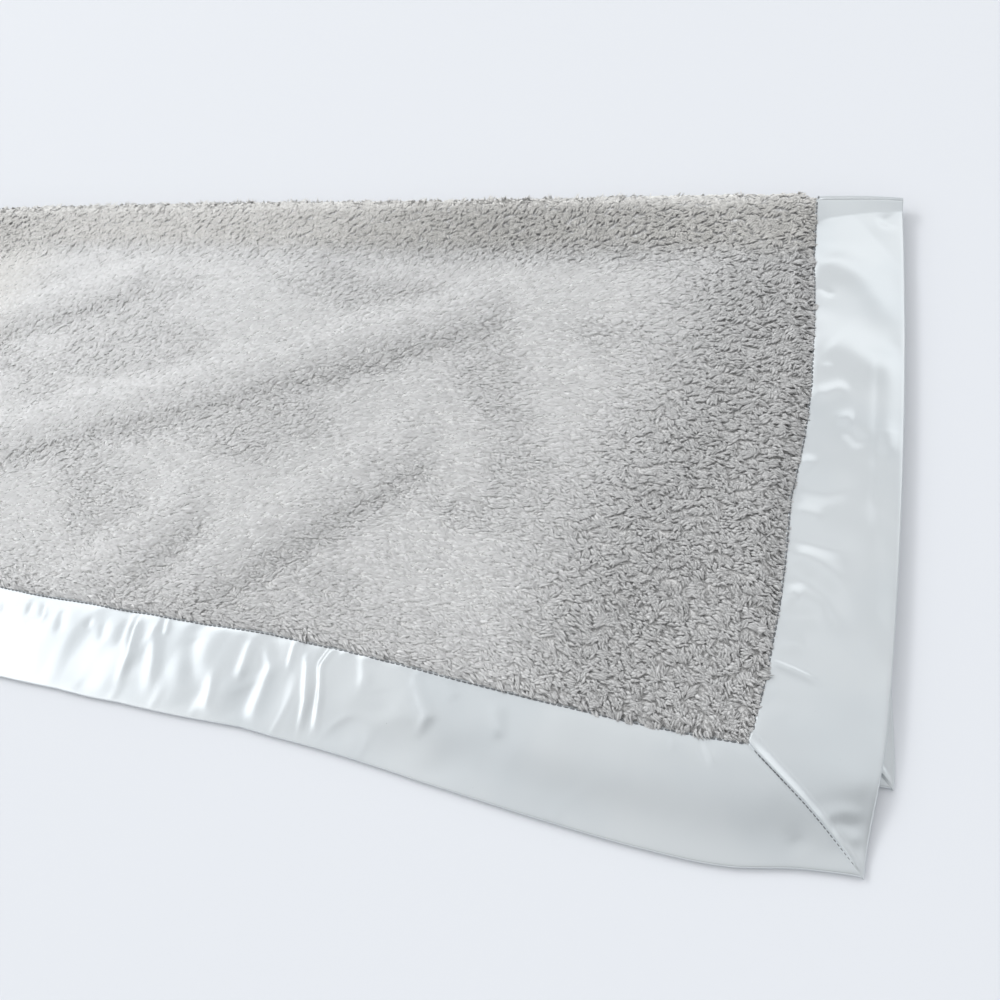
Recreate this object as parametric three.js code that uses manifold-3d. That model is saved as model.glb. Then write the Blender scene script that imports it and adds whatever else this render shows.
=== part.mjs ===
// A baby blanket: two plush panels back to back, bound with mitred satin, folded once along its length.
// Millimetres, +Z up. X runs along the blanket, Y from the open hems back to the fold.

import * as THREE from 'three';
import { mergeVertices } from 'three/addons/utils/BufferGeometryUtils.js';
import Module from 'manifold-3d';

const wasm = await Module();
wasm.setup();

// Cut size of the open blanket and the visible width of its binding
const blanketLength = 1016;
const blanketWidth = 762;
const bindingWidth = 50.8;

// The upper hem lies this far in front of the lower hem
const hemLead = 42;

// Thickness of each ply, pile included
const panelThickness = 3.85;
const marginThickness = 1.15;
const satinThickness = 0.9;
const threadThickness = 0.8;

// Clearances between neighbouring pieces
const clothGap = 0.3;
const tableGap = 0.4;

// Rounded outer rim of the binding, and how far the pressed plush margin stops short of it
const rimWidth = 4;
const rimRise = 0.9;
const rimDrop = 1.2;
const pocketInset = 2.6;

// The pile swells from the seam to its full height over this width
const shoulderWidth = 12;
const footWidth = 2;

// Where the upper hem leaves the lower leaf and comes down to the table
const drapeTop = 34;
const drapeFoot = 14;

// Sway of the hem and of the fold, and the bow of the two ends
const hemSway = 3;
const hemSwayLength = 310;
const hemCrestInset = 95;
const foldSway = 2.5;
const foldSwayLength = 620;
const foldCrestInset = 40;
const endBow = 1.5;
const endBowDepth = 6;
const endBowMiddle = 180;
const endBowReach = 210;
const endBowFade = 200;

// The upper corner is drawn in, the lower corner stands out beside it
const cornerPullIn = 3.2;
const cornerPullBack = 5;
const cornerReach = 70;
const cornerStandOut = 4.3;
const cornerStandOutReach = 60;

// Soft ridges on the upper panel, from and to as shares of its length and depth
const ridgeShares = [
  { from: [0.486, 0.85], to: [0.327, 0.68] },
  { from: [0.777, 0.751], to: [0.423, 0.39] },
  { from: [0.76, 0.46], to: [0.657, 0.21] },
  { from: [0.617, 0.31], to: [0.56, 0.14] },
];
const ridgeHeight = 2.4;
const ridgeWidth = 26;

// Puckers across the upper hem binding
const puckerHeight = 1.1;
const puckerLength = 46;
const puckerLean = 0.5;
const puckerRest = 190;

// Counts of stations along and across the leaves
const panelColumns = 16;
const panelRows = 4;
const reliefRows = 6;
const foldSteps = 6;
const drapeSteps = 4;
const mitreSteps = 5;

// Sizes that follow from the ones above
const leafThickness = 2 * panelThickness + clothGap;
const bindingThickness = 2 * (satinThickness + marginThickness) + 3 * clothGap;
const marginBase = satinThickness + clothGap;
const threadSlot = threadThickness + 2 * clothGap;
const halfLength = blanketLength / 2;
const foldArc = Math.PI * (leafThickness + clothGap) / 2;
const lowerDepth = (blanketWidth - foldArc - hemLead) / 2;
const upperHem = 0;
const lowerHem = upperHem + hemLead;
const foldLine = lowerHem + lowerDepth;
const lipInset = bindingWidth - threadSlot / 2;
const shoulderStart = bindingWidth + threadSlot / 2;
const marginInset = pocketInset + clothGap;
const overrun = 5 * clothGap;

// Vertices nearer than this are one
const weldDistance = 0.0001;

const colours = { plush: 0xc6c4c2, satin: 0xdfe4e8, thread: 0xc9ced2 };
const roughnessShares = { plush: 0.95, satin: 0.35, thread: 0.6 };

function mix(a, b, share) {
  return a + (b - a) * share;
}

function smoothShare(t) {
  const share = Math.min(Math.max(t, 0), 1);
  return share * share * (3 - 2 * share);
}

// Heights through one leaf above its lower face, by the distance in from the bound edge

function shoulderAt(inset) {
  return smoothShare((inset - shoulderStart) / shoulderWidth);
}

function lowPanelBottom(inset) {
  return mix(marginBase, 0, smoothShare((inset - shoulderStart) / footWidth));
}

function lowPanelTop(inset) {
  return mix(marginBase + marginThickness, panelThickness, shoulderAt(inset));
}

function highPanelBottom(inset) {
  return lowPanelTop(inset) + clothGap;
}

function highPanelTop(inset) {
  return mix(bindingThickness - marginBase, leafThickness, shoulderAt(inset));
}

function bindingBottom(inset) {
  return mix(rimRise, 0, smoothShare(inset / rimWidth));
}

function bindingTop(inset) {
  return bindingThickness - mix(rimDrop, 0, smoothShare(inset / rimWidth));
}

function pocketBottom() {
  return satinThickness;
}

function pocketTop() {
  return bindingThickness - satinThickness;
}

function highThreadBottom() {
  return bindingThickness - marginBase + clothGap;
}

function highThreadTop() {
  return highThreadBottom() + threadThickness;
}

function lowThreadTop() {
  return marginBase - clothGap;
}

function lowThreadBottom() {
  return lowThreadTop() - threadThickness;
}

// Where each leaf lies

function endInset(x) {
  return halfLength - Math.abs(x);
}

function restHeight(inset) {
  return mix(bindingThickness, leafThickness, shoulderAt(inset)) + clothGap;
}

function upperBase(x, y) {
  const rest = restHeight(Math.min(y - lowerHem, endInset(x)));
  return mix(tableGap, rest, smoothShare((y - drapeFoot) / (drapeTop - drapeFoot)));
}

function lowerBase() {
  return 0;
}

function depthShare(y) {
  return Math.min(Math.max(y / foldLine, 0), 1);
}

function swayAt(x, y) {
  const inset = halfLength - x;
  const hem = -hemSway * Math.cos(2 * Math.PI * (inset - hemCrestInset) / hemSwayLength);
  const fold = foldSway * Math.cos(2 * Math.PI * (inset - foldCrestInset) / foldSwayLength);
  return mix(hem, fold, depthShare(y));
}

function bowAt(x, y) {
  const along = (Math.min(y, foldLine) - endBowMiddle) / endBowReach;
  const outward = endBow - endBowDepth * along * along;
  return Math.sign(x) * outward * smoothShare(1 - endInset(x) / endBowFade);
}

function laid(point) {
  return new THREE.Vector3(point.x + bowAt(point.x, point.y), point.y + swayAt(point.x, point.y), point.z);
}

function laidLower(point) {
  const near = smoothShare(1 - endInset(point.x) / cornerStandOutReach);
  const front = smoothShare(1 - (point.y - lowerHem) / cornerStandOutReach);
  const place = laid(point);
  place.x += Math.sign(point.x) * cornerStandOut * near * front;
  return place;
}

function laidUpper(point) {
  const near = smoothShare(1 - endInset(point.x) / cornerReach);
  const front = smoothShare(1 - (point.y - upperHem) / cornerReach);
  const place = laid(point);
  place.x -= Math.sign(point.x) * cornerPullIn * near * front;
  place.y += cornerPullBack * near * front;
  return place;
}

const lowerLeaf = { name: 'lower', hem: lowerHem, baseAt: lowerBase, lay: laidLower };
const upperLeaf = { name: 'upper', hem: upperHem, baseAt: upperBase, lay: laidUpper };

// Relief on the upper face

function segmentDistance(x, y, start, end) {
  const dx = end.x - start.x;
  const dy = end.y - start.y;
  const t = ((x - start.x) * dx + (y - start.y) * dy) / (dx * dx + dy * dy);
  const share = Math.min(Math.max(t, 0), 1);
  return Math.hypot(x - start.x - share * dx, y - start.y - share * dy);
}

function panelPoint([lengthShare, shareOfDepth]) {
  const panelLength = blanketLength - 2 * bindingWidth;
  return { x: (lengthShare - 0.5) * panelLength, y: shareOfDepth * foldLine };
}

function ridgeAt(x, y) {
  let height = 0;
  for (const { from, to } of ridgeShares) {
    const away = segmentDistance(x, y, panelPoint(from), panelPoint(to));
    height = Math.max(height, ridgeHeight * smoothShare(1 - away / ridgeWidth));
  }
  return height * shoulderAt(Math.min(y - upperHem, endInset(x)));
}

function puckerAt(x, y) {
  const inset = halfLength - x;
  const phase = 2 * Math.PI * (inset + puckerLean * y) / puckerLength;
  const strength = smoothShare(inset / puckerRest - 1) * smoothShare(endInset(x) / bindingWidth - 1);
  return puckerHeight * strength * (1 + Math.cos(phase)) / 2;
}

// Solids

function toManifold(geometry) {
  geometry.deleteAttribute('normal');
  geometry.deleteAttribute('uv');
  const merged = mergeVertices(geometry, weldDistance);
  const vertProperties = new Float32Array(merged.attributes.position.array);
  const triVerts = new Uint32Array(merged.index.array);
  return new wasm.Manifold(new wasm.Mesh({ numProp: 3, vertProperties, triVerts }));
}

function toGeometry(solid) {
  const mesh = solid.getMesh();
  const geometry = new THREE.BufferGeometry();
  geometry.setAttribute('position', new THREE.Float32BufferAttribute(mesh.vertProperties, mesh.numProp));
  geometry.setIndex(Array.from(mesh.triVerts));
  geometry.computeVertexNormals();
  return geometry;
}

// A closed solid over a grid of stations, between a low and a high face
function solidBetween(us, vs, lowPoint, highPoint) {
  const points = [];
  for (const pointAt of [lowPoint, highPoint]) {
    for (const u of us) {
      for (const v of vs) points.push(...pointAt(u, v).toArray());
    }
  }
  const layer = us.length * vs.length;
  const at = (i, j, high) => high * layer + i * vs.length + j;
  const faces = [];
  const quad = (a, b, c, d) => faces.push(a, b, c, a, c, d);
  const lastU = us.length - 1;
  const lastV = vs.length - 1;
  for (let i = 0; i < lastU; i += 1) {
    for (let j = 0; j < lastV; j += 1) {
      quad(at(i, j, 1), at(i + 1, j, 1), at(i + 1, j + 1, 1), at(i, j + 1, 1));
      quad(at(i, j, 0), at(i, j + 1, 0), at(i + 1, j + 1, 0), at(i + 1, j, 0));
    }
    quad(at(i, 0, 0), at(i + 1, 0, 0), at(i + 1, 0, 1), at(i, 0, 1));
    quad(at(i + 1, lastV, 0), at(i, lastV, 0), at(i, lastV, 1), at(i + 1, lastV, 1));
  }
  for (let j = 0; j < lastV; j += 1) {
    quad(at(0, j + 1, 0), at(0, j, 0), at(0, j, 1), at(0, j + 1, 1));
    quad(at(lastU, j, 0), at(lastU, j + 1, 0), at(lastU, j + 1, 1), at(lastU, j, 1));
  }
  const geometry = new THREE.BufferGeometry();
  geometry.setAttribute('position', new THREE.Float32BufferAttribute(points, 3));
  geometry.setIndex(faces);
  return toManifold(geometry);
}

// One ply of a leaf, between two heights that follow the distance in from the bound edge
function plySolid(leaf, xs, ys, bottomAt, topAt, relief = () => 0) {
  const insetAt = (x, y) => Math.min(y - leaf.hem, endInset(x));
  const placed = (x, y, height) => leaf.lay(new THREE.Vector3(x, y, leaf.baseAt(x, y) + height));
  const low = (x, y) => placed(x, y, bottomAt(insetAt(x, y)));
  const high = (x, y) => placed(x, y, topAt(insetAt(x, y)) + relief(x, y));
  return solidBetween(xs, ys, low, high);
}

// The same ply where it goes round the fold, from the lower leaf to the upper
function foldSolid(xs, angles, outer, inner) {
  const pointAt = ({ lower, upper }) => (x, angle) => {
    const inset = endInset(x);
    const upperRest = restHeight(inset);
    const centre = upperRest - clothGap / 2;
    const radius = mix(centre - lower(inset), upperRest + upper(inset) - centre, angle / Math.PI);
    const y = foldLine + clothGap / 2 + radius * Math.sin(angle);
    return laid(new THREE.Vector3(x, y, centre - radius * Math.cos(angle)));
  };
  return solidBetween(xs, angles, pointAt(outer), pointAt(inner));
}

// An upright prism at one corner of a leaf, its outline given as insets from the end and the hem
function cornerPrism(leaf, end, outline) {
  const corners = outline.map(([endward, hemward]) => {
    return new THREE.Vector2(end * (halfLength - endward), leaf.hem + hemward);
  });
  const height = 4 * leafThickness;
  const prism = new THREE.ExtrudeGeometry(new THREE.Shape(corners), { depth: height, bevelEnabled: false });
  prism.translate(0, 0, -leafThickness);
  const position = prism.attributes.position;
  for (let n = 0; n < position.count; n += 1) {
    const point = leaf.lay(new THREE.Vector3().fromBufferAttribute(position, n));
    position.setXYZ(n, point.x, point.y, point.z);
  }
  return toManifold(prism);
}

// Stations

function evenly(start, end, count) {
  return Array.from({ length: count }, (_, n) => mix(start, end, n / (count - 1)));
}

function inOrder(values) {
  return [...new Set(values)].sort((a, b) => a - b);
}

const shoulderInsets = [0, footWidth, shoulderWidth / 2, shoulderWidth].map((step) => shoulderStart + step);
const bindingInsets = [0, rimWidth, lipInset];
const drapeStations = evenly(drapeFoot, drapeTop, drapeSteps);

function alongStations(insets, columns) {
  const inner = halfLength - shoulderStart - shoulderWidth;
  const ends = insets.flatMap((inset) => [inset - halfLength, halfLength - inset]);
  return inOrder([...ends, ...evenly(-inner, inner, columns + 1)]);
}

function panelDepths(leaf, rows) {
  const start = leaf.hem + shoulderStart + shoulderWidth;
  const own = [marginInset, ...shoulderInsets].map((inset) => leaf.hem + inset);
  const below = [0, shoulderWidth / 2, shoulderWidth].map((step) => lowerHem + shoulderStart + step);
  const drape = leaf === upperLeaf ? [...drapeStations, ...below] : [];
  const deepest = Math.max(start, ...below) + shoulderWidth;
  return inOrder([...own, ...drape, ...evenly(deepest, foldLine - clothGap / 2, rows)]);
}

const foldAngles = evenly(0, Math.PI, foldSteps + 1);
const pocketAngles = [-clothGap, ...foldAngles, Math.PI + clothGap];

// Plush panels

function panelStations() {
  return alongStations([marginInset, ...shoulderInsets], panelColumns);
}

function panelPly(leaf, side) {
  if (side === 'low') {
    return plySolid(leaf, panelStations(), panelDepths(leaf, panelRows), lowPanelBottom, lowPanelTop);
  }
  const rows = leaf === upperLeaf ? reliefRows : panelRows;
  const relief = leaf === upperLeaf ? ridgeAt : undefined;
  return plySolid(leaf, panelStations(), panelDepths(leaf, rows), highPanelBottom, highPanelTop, relief);
}

function panelFold(side) {
  const outerFace = { lower: lowPanelBottom, upper: highPanelTop };
  const outerBack = { lower: lowPanelTop, upper: highPanelBottom };
  const innerBack = { lower: highPanelBottom, upper: lowPanelTop };
  const innerFace = { lower: highPanelTop, upper: lowPanelBottom };
  const faces = side === 'outer' ? [outerFace, outerBack] : [innerBack, innerFace];
  return foldSolid(panelStations(), foldAngles, ...faces);
}

// Satin binding, a folded strip with a pocket for the pressed plush margin

function pocket(leaf) {
  const inner = halfLength - pocketInset;
  const xs = inOrder([-inner, ...alongStations([lipInset, ...shoulderInsets], panelColumns), inner]);
  const ys = [leaf.hem + pocketInset, leaf.hem + lipInset, leaf.hem + shoulderStart, foldLine + overrun];
  return plySolid(leaf, xs, inOrder([...ys, ...panelDepths(leaf, panelRows)]), pocketBottom, pocketTop);
}

// The corner square on one side of the mitre line, which is cut away from the strip on the other side
function mitreCutter(leaf, end, keepsHem) {
  const slot = threadSlot * Math.SQRT1_2;
  const line = evenly(-overrun, bindingWidth, mitreSteps).map((step) => [step + slot, step]);
  const outline = [...line, [-overrun, bindingWidth], [-overrun, -overrun]];
  return cornerPrism(leaf, end, keepsHem ? outline : outline.map(([endward, hemward]) => [hemward, endward]));
}

function hemColumns(leaf) {
  return leaf === upperLeaf ? 2 * panelColumns : panelColumns;
}

function hemBinding(leaf) {
  const columns = hemColumns(leaf);
  const xs = alongStations([...bindingInsets, ...shoulderInsets], columns);
  const drape = leaf === upperLeaf ? drapeStations : [];
  const ys = inOrder([...bindingInsets.map((inset) => leaf.hem + inset), ...drape]);
  const relief = leaf === upperLeaf ? puckerAt : undefined;
  return plySolid(leaf, xs, ys, bindingBottom, bindingTop, relief)
    .subtract(pocket(leaf))
    .subtract(mitreCutter(leaf, 1, true))
    .subtract(mitreCutter(leaf, -1, true));
}

function endBinding(leaf, end) {
  const xs = inOrder(bindingInsets.map((inset) => end * (halfLength - inset)));
  const front = bindingInsets.map((inset) => leaf.hem + inset);
  const ys = inOrder([...front, ...panelDepths(leaf, panelRows)]);
  return plySolid(leaf, xs, ys, bindingBottom, bindingTop)
    .subtract(pocket(leaf))
    .subtract(mitreCutter(leaf, end, false));
}

function foldBinding(end) {
  const xs = inOrder(bindingInsets.map((inset) => end * (halfLength - inset)));
  const pocketXs = inOrder([pocketInset, bindingWidth + overrun].map((inset) => end * (halfLength - inset)));
  const outer = { lower: bindingBottom, upper: bindingTop };
  const inner = { lower: bindingTop, upper: bindingBottom };
  const pocketOuter = { lower: pocketBottom, upper: pocketTop };
  const pocketInner = { lower: pocketTop, upper: pocketBottom };
  return foldSolid(xs, foldAngles, outer, inner)
    .subtract(foldSolid(pocketXs, pocketAngles, pocketOuter, pocketInner));
}

// Sewing thread, laid in the slot between the binding and the pile

function threadInsets() {
  return [bindingWidth - threadThickness / 2, bindingWidth + threadThickness / 2];
}

function seamThread(leaf, side) {
  const [near, far] = threadInsets();
  const heights = side === 'high' ? [highThreadBottom, highThreadTop] : [lowThreadBottom, lowThreadTop];
  const along = alongStations([near, far, ...shoulderInsets], hemColumns(leaf));
  const depths = inOrder([near, far].map((inset) => leaf.hem + inset));
  const runs = panelDepths(leaf, panelRows).filter((y) => y > leaf.hem + far);
  let thread = plySolid(leaf, along, depths, ...heights);
  for (const end of [-1, 1]) {
    const xs = inOrder([near, far].map((inset) => end * (halfLength - inset)));
    thread = thread.add(plySolid(leaf, xs, [...depths, ...runs], ...heights));
  }
  return thread;
}

function foldThread(end) {
  const xs = inOrder(threadInsets().map((inset) => end * (halfLength - inset)));
  const outer = { lower: lowThreadBottom, upper: highThreadTop };
  const inner = { lower: lowThreadTop, upper: highThreadBottom };
  return foldSolid(xs, foldAngles, outer, inner);
}

function mitreThread(leaf, end, side) {
  const heights = side === 'high' ? [highThreadBottom, highThreadTop] : [lowThreadBottom, lowThreadTop];
  const reach = lipInset - clothGap;
  const insets = [rimWidth, bindingWidth / 2, reach];
  const xs = inOrder(insets.map((inset) => end * (halfLength - inset)));
  const drape = leaf === upperLeaf ? drapeStations.filter((y) => y > leaf.hem + rimWidth) : [];
  const ys = inOrder([...insets.map((inset) => leaf.hem + inset), ...drape]);
  const half = threadThickness * Math.SQRT1_2;
  const steps = evenly(rimWidth, reach, mitreSteps);
  const outline = [
    ...steps.map((step) => [step + half, step]),
    ...steps.toReversed().map((step) => [step, step + half]),
  ];
  return plySolid(leaf, xs, ys, ...heights).intersect(cornerPrism(leaf, end, outline));
}

// The assembled blanket

const blanket = new THREE.Group();

function addPiece(name, solid, cloth) {
  const color = colours[cloth];
  const roughness = roughnessShares[cloth];
  const material = new THREE.MeshStandardMaterial({ color, roughness, metalness: 0 });
  const piece = new THREE.Mesh(toGeometry(solid), material);
  piece.name = name;
  blanket.add(piece);
}

function addPlush(name, solid) {
  addPiece(name, solid, 'plush');
}

function addSatin(name, solid) {
  addPiece(name, solid, 'satin');
}

function addThread(name, solid) {
  addPiece(name, solid, 'thread');
}

const ends = [{ end: -1, side: 'left' }, { end: 1, side: 'right' }];
const leafFaces = [
  { leaf: lowerLeaf, outer: 'low', inner: 'high' },
  { leaf: upperLeaf, outer: 'high', inner: 'low' },
];

for (const { leaf, outer, inner } of leafFaces) {
  addPlush(`plush_outer_${leaf.name}`, panelPly(leaf, outer));
  addPlush(`plush_inner_${leaf.name}`, panelPly(leaf, inner));
  addSatin(`binding_hem_${leaf.name}`, hemBinding(leaf));
  addThread(`seam_thread_outer_${leaf.name}`, seamThread(leaf, outer));
  addThread(`seam_thread_inner_${leaf.name}`, seamThread(leaf, inner));
  for (const { end, side } of ends) {
    addSatin(`binding_${side}_${leaf.name}`, endBinding(leaf, end));
    addThread(`mitre_thread_${side}_${leaf.name}`, mitreThread(leaf, end, outer));
  }
}
addPlush('plush_outer_fold', panelFold('outer'));
addPlush('plush_inner_fold', panelFold('inner'));
for (const { end, side } of ends) {
  addSatin(`binding_${side}_fold`, foldBinding(end));
  addThread(`seam_thread_${side}_fold`, foldThread(end));
}

// The origin is under the middle of the folded blanket
const extent = new THREE.Box3().setFromObject(blanket);
const middle = extent.getCenter(new THREE.Vector3());
blanket.position.set(-middle.x, -middle.y, -extent.min.z);

export default blanket;
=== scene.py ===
"""A baby blanket: two plush panels back to back, bound with mitred satin, folded once along its length.

Sizes are millimetres, except in the finishes and the studio, where they are metres. X runs along the blanket, Y
from the open hems back to the fold, and Z is up. A place on a leaf is given flat, as x from the middle of the
length and y back from the upper hem, and the Lay class puts it where the cloth lies.
"""

import logging
import math
from dataclasses import dataclass, field, fields
from enum import Enum
from functools import cache

import bpy
import numpy as np
from mathutils import Matrix, Vector


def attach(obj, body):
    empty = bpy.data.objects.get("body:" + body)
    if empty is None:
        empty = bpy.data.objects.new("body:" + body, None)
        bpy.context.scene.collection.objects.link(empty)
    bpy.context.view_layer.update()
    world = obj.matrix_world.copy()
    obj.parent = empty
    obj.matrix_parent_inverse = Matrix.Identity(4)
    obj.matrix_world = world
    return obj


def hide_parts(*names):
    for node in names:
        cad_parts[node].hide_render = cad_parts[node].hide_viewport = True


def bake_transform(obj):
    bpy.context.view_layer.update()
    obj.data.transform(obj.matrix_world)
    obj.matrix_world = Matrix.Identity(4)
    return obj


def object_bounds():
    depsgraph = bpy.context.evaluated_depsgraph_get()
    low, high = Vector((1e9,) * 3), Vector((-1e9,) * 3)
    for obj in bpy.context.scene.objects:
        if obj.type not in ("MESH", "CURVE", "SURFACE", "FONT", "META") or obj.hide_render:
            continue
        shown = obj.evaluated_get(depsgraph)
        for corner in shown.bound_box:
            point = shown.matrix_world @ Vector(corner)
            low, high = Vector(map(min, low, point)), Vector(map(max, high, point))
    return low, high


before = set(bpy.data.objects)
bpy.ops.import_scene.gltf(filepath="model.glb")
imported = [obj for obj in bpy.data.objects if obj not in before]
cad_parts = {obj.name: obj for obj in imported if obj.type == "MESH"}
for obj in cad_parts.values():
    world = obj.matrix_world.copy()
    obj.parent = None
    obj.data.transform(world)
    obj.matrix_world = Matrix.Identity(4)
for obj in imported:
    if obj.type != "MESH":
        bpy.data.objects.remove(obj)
CAD_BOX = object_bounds()

MM = 0.001
LOG = logging.getLogger("blanket")
Array = np.ndarray
Pair = tuple[float, float]
Triple = tuple[float, float, float]
Line = tuple[Pair, ...]
Piece = bpy.types.Object
Tree = bpy.types.NodeTree
Material = bpy.types.Material
Socket = bpy.types.NodeSocket
Inputs = dict[str | int, Socket | float | tuple[float, ...]]


class Leaf(Enum):
    """Which half of the folded blanket."""

    LOWER = "lower"
    UPPER = "upper"


class Face(Enum):
    """Which panel: the one outside the fold, or the one inside it."""

    OUTER = "outer"
    INNER = "inner"


class End(Enum):
    """Which end of the blanket, by the sign of x."""

    LEFT = -1
    RIGHT = 1


BODY = {Leaf.LOWER: "lower_leaf", Leaf.UPPER: "upper_leaf"}


def part_name(leaf: Leaf | None) -> str:
    """Name a leaf, or the fold."""
    return leaf.value if leaf else "fold"


def faces_up(face: Face, leaf: Leaf | None) -> bool:
    """Tell whether a face looks up in the folded blanket or, round the fold, where the turn starts."""
    return (face is Face.OUTER) == (leaf is Leaf.UPPER)


def mix(a: Array, b: Array, share: Array) -> Array:
    """Blend from a to b by a share from 0 to 1."""
    return a + (b - a) * share


def smooth(t: Array) -> Array:
    """Ease from 0 to 1, level at both ends."""
    share = np.clip(t, 0.0, 1.0)
    return share * share * (3.0 - 2.0 * share)


def unit(vectors: Array) -> Array:
    """Scale each row to length one."""
    return vectors / np.maximum(np.linalg.norm(vectors, axis=-1, keepdims=True), 1e-9)


class Waves:
    """Seeded value noise over a plane, from -1 to 1."""

    SIDE = 128

    def __init__(self, seed: int, cell: float, stretch: float = 1.0) -> None:
        """Fill the lattice.

        Args:
            seed: Which noise.
            cell: Size of one swell along x, in millimetres.
            stretch: How many times as long a swell is along y.
        """
        self.cell = cell
        self.stretch = stretch
        self.lattice = np.random.default_rng(seed).uniform(-1.0, 1.0, (self.SIDE, self.SIDE))

    def at(self, x: Array, y: Array) -> Array:
        """Give the noise at each place.

        Args:
            x: Place along, in millimetres.
            y: Place across, in millimetres.

        Returns:
            The noise, from -1 to 1.
        """
        u = np.asarray(x) / self.cell
        v = np.asarray(y) / (self.cell * self.stretch)
        i, j = np.floor(u).astype(int), np.floor(v).astype(int)
        a, b = smooth(u - i), smooth(v - j)
        i0, i1, j0, j1 = i % self.SIDE, (i + 1) % self.SIDE, j % self.SIDE, (j + 1) % self.SIDE
        near = mix(self.lattice[i0, j0], self.lattice[i1, j0], a)
        far = mix(self.lattice[i0, j1], self.lattice[i1, j1], a)
        return mix(near, far, b)


def distance_to(points: Line, x: Array, y: Array) -> Array:
    """Measure how far each place is from a line of given points, in millimetres.

    Args:
        points: The line.
        x: Places along its first axis.
        y: Places along its second axis.

    Returns:
        The distances.
    """
    best = np.full(np.shape(x), np.inf)
    for (ax, ay), (bx, by) in zip(points, points[1:]):
        dx, dy = bx - ax, by - ay
        t = np.clip(((x - ax) * dx + (y - ay) * dy) / (dx * dx + dy * dy), 0.0, 1.0)
        best = np.minimum(best, np.hypot(x - ax - t * dx, y - ay - t * dy))
    return best


def read_line(line: Line, at: Array) -> Array:
    """Read a line of (place, value) pairs at each place."""
    places, values = zip(*line)
    return np.interp(at, places, values)


@dataclass(frozen=True)
class Crease:
    """A soft rise or dip in the satin along a line of (inset from the right end, distance from the hem)."""

    points: Line
    height: float
    width: float
    start_share: float = 0.5
    fade_in: float = 0.15
    fade_out: float = 0.45
    stop_share: float = 1.08

    def at(self, inset: Array, y: Array) -> Array:
        """Give the height that the crease adds at each place.

        Args:
            inset: Distance in from the end.
            y: Distance back from the upper hem.

        Returns:
            The heights.
        """
        away = distance_to(self.points, inset, y) / self.width
        (ax, ay), (bx, by) = self.points[0], self.points[-1]
        dx, dy = bx - ax, by - ay
        share = ((inset - ax) * dx + (y - ay) * dy) / (dx * dx + dy * dy)
        start = mix(self.start_share, 1.0, smooth(share / self.fade_in))
        fade = start * smooth((self.stop_share - share) / self.fade_out)
        return self.height * fade * np.exp(-away * away)


def creases(*rows: tuple[float, ...]) -> tuple[Crease, ...]:
    """Make creases from rows of a height, a width and the places of the line, an inset and a distance each."""
    return tuple(Crease(tuple(zip(row[2::2], row[3::2])), row[0], row[1]) for row in rows)


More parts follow.
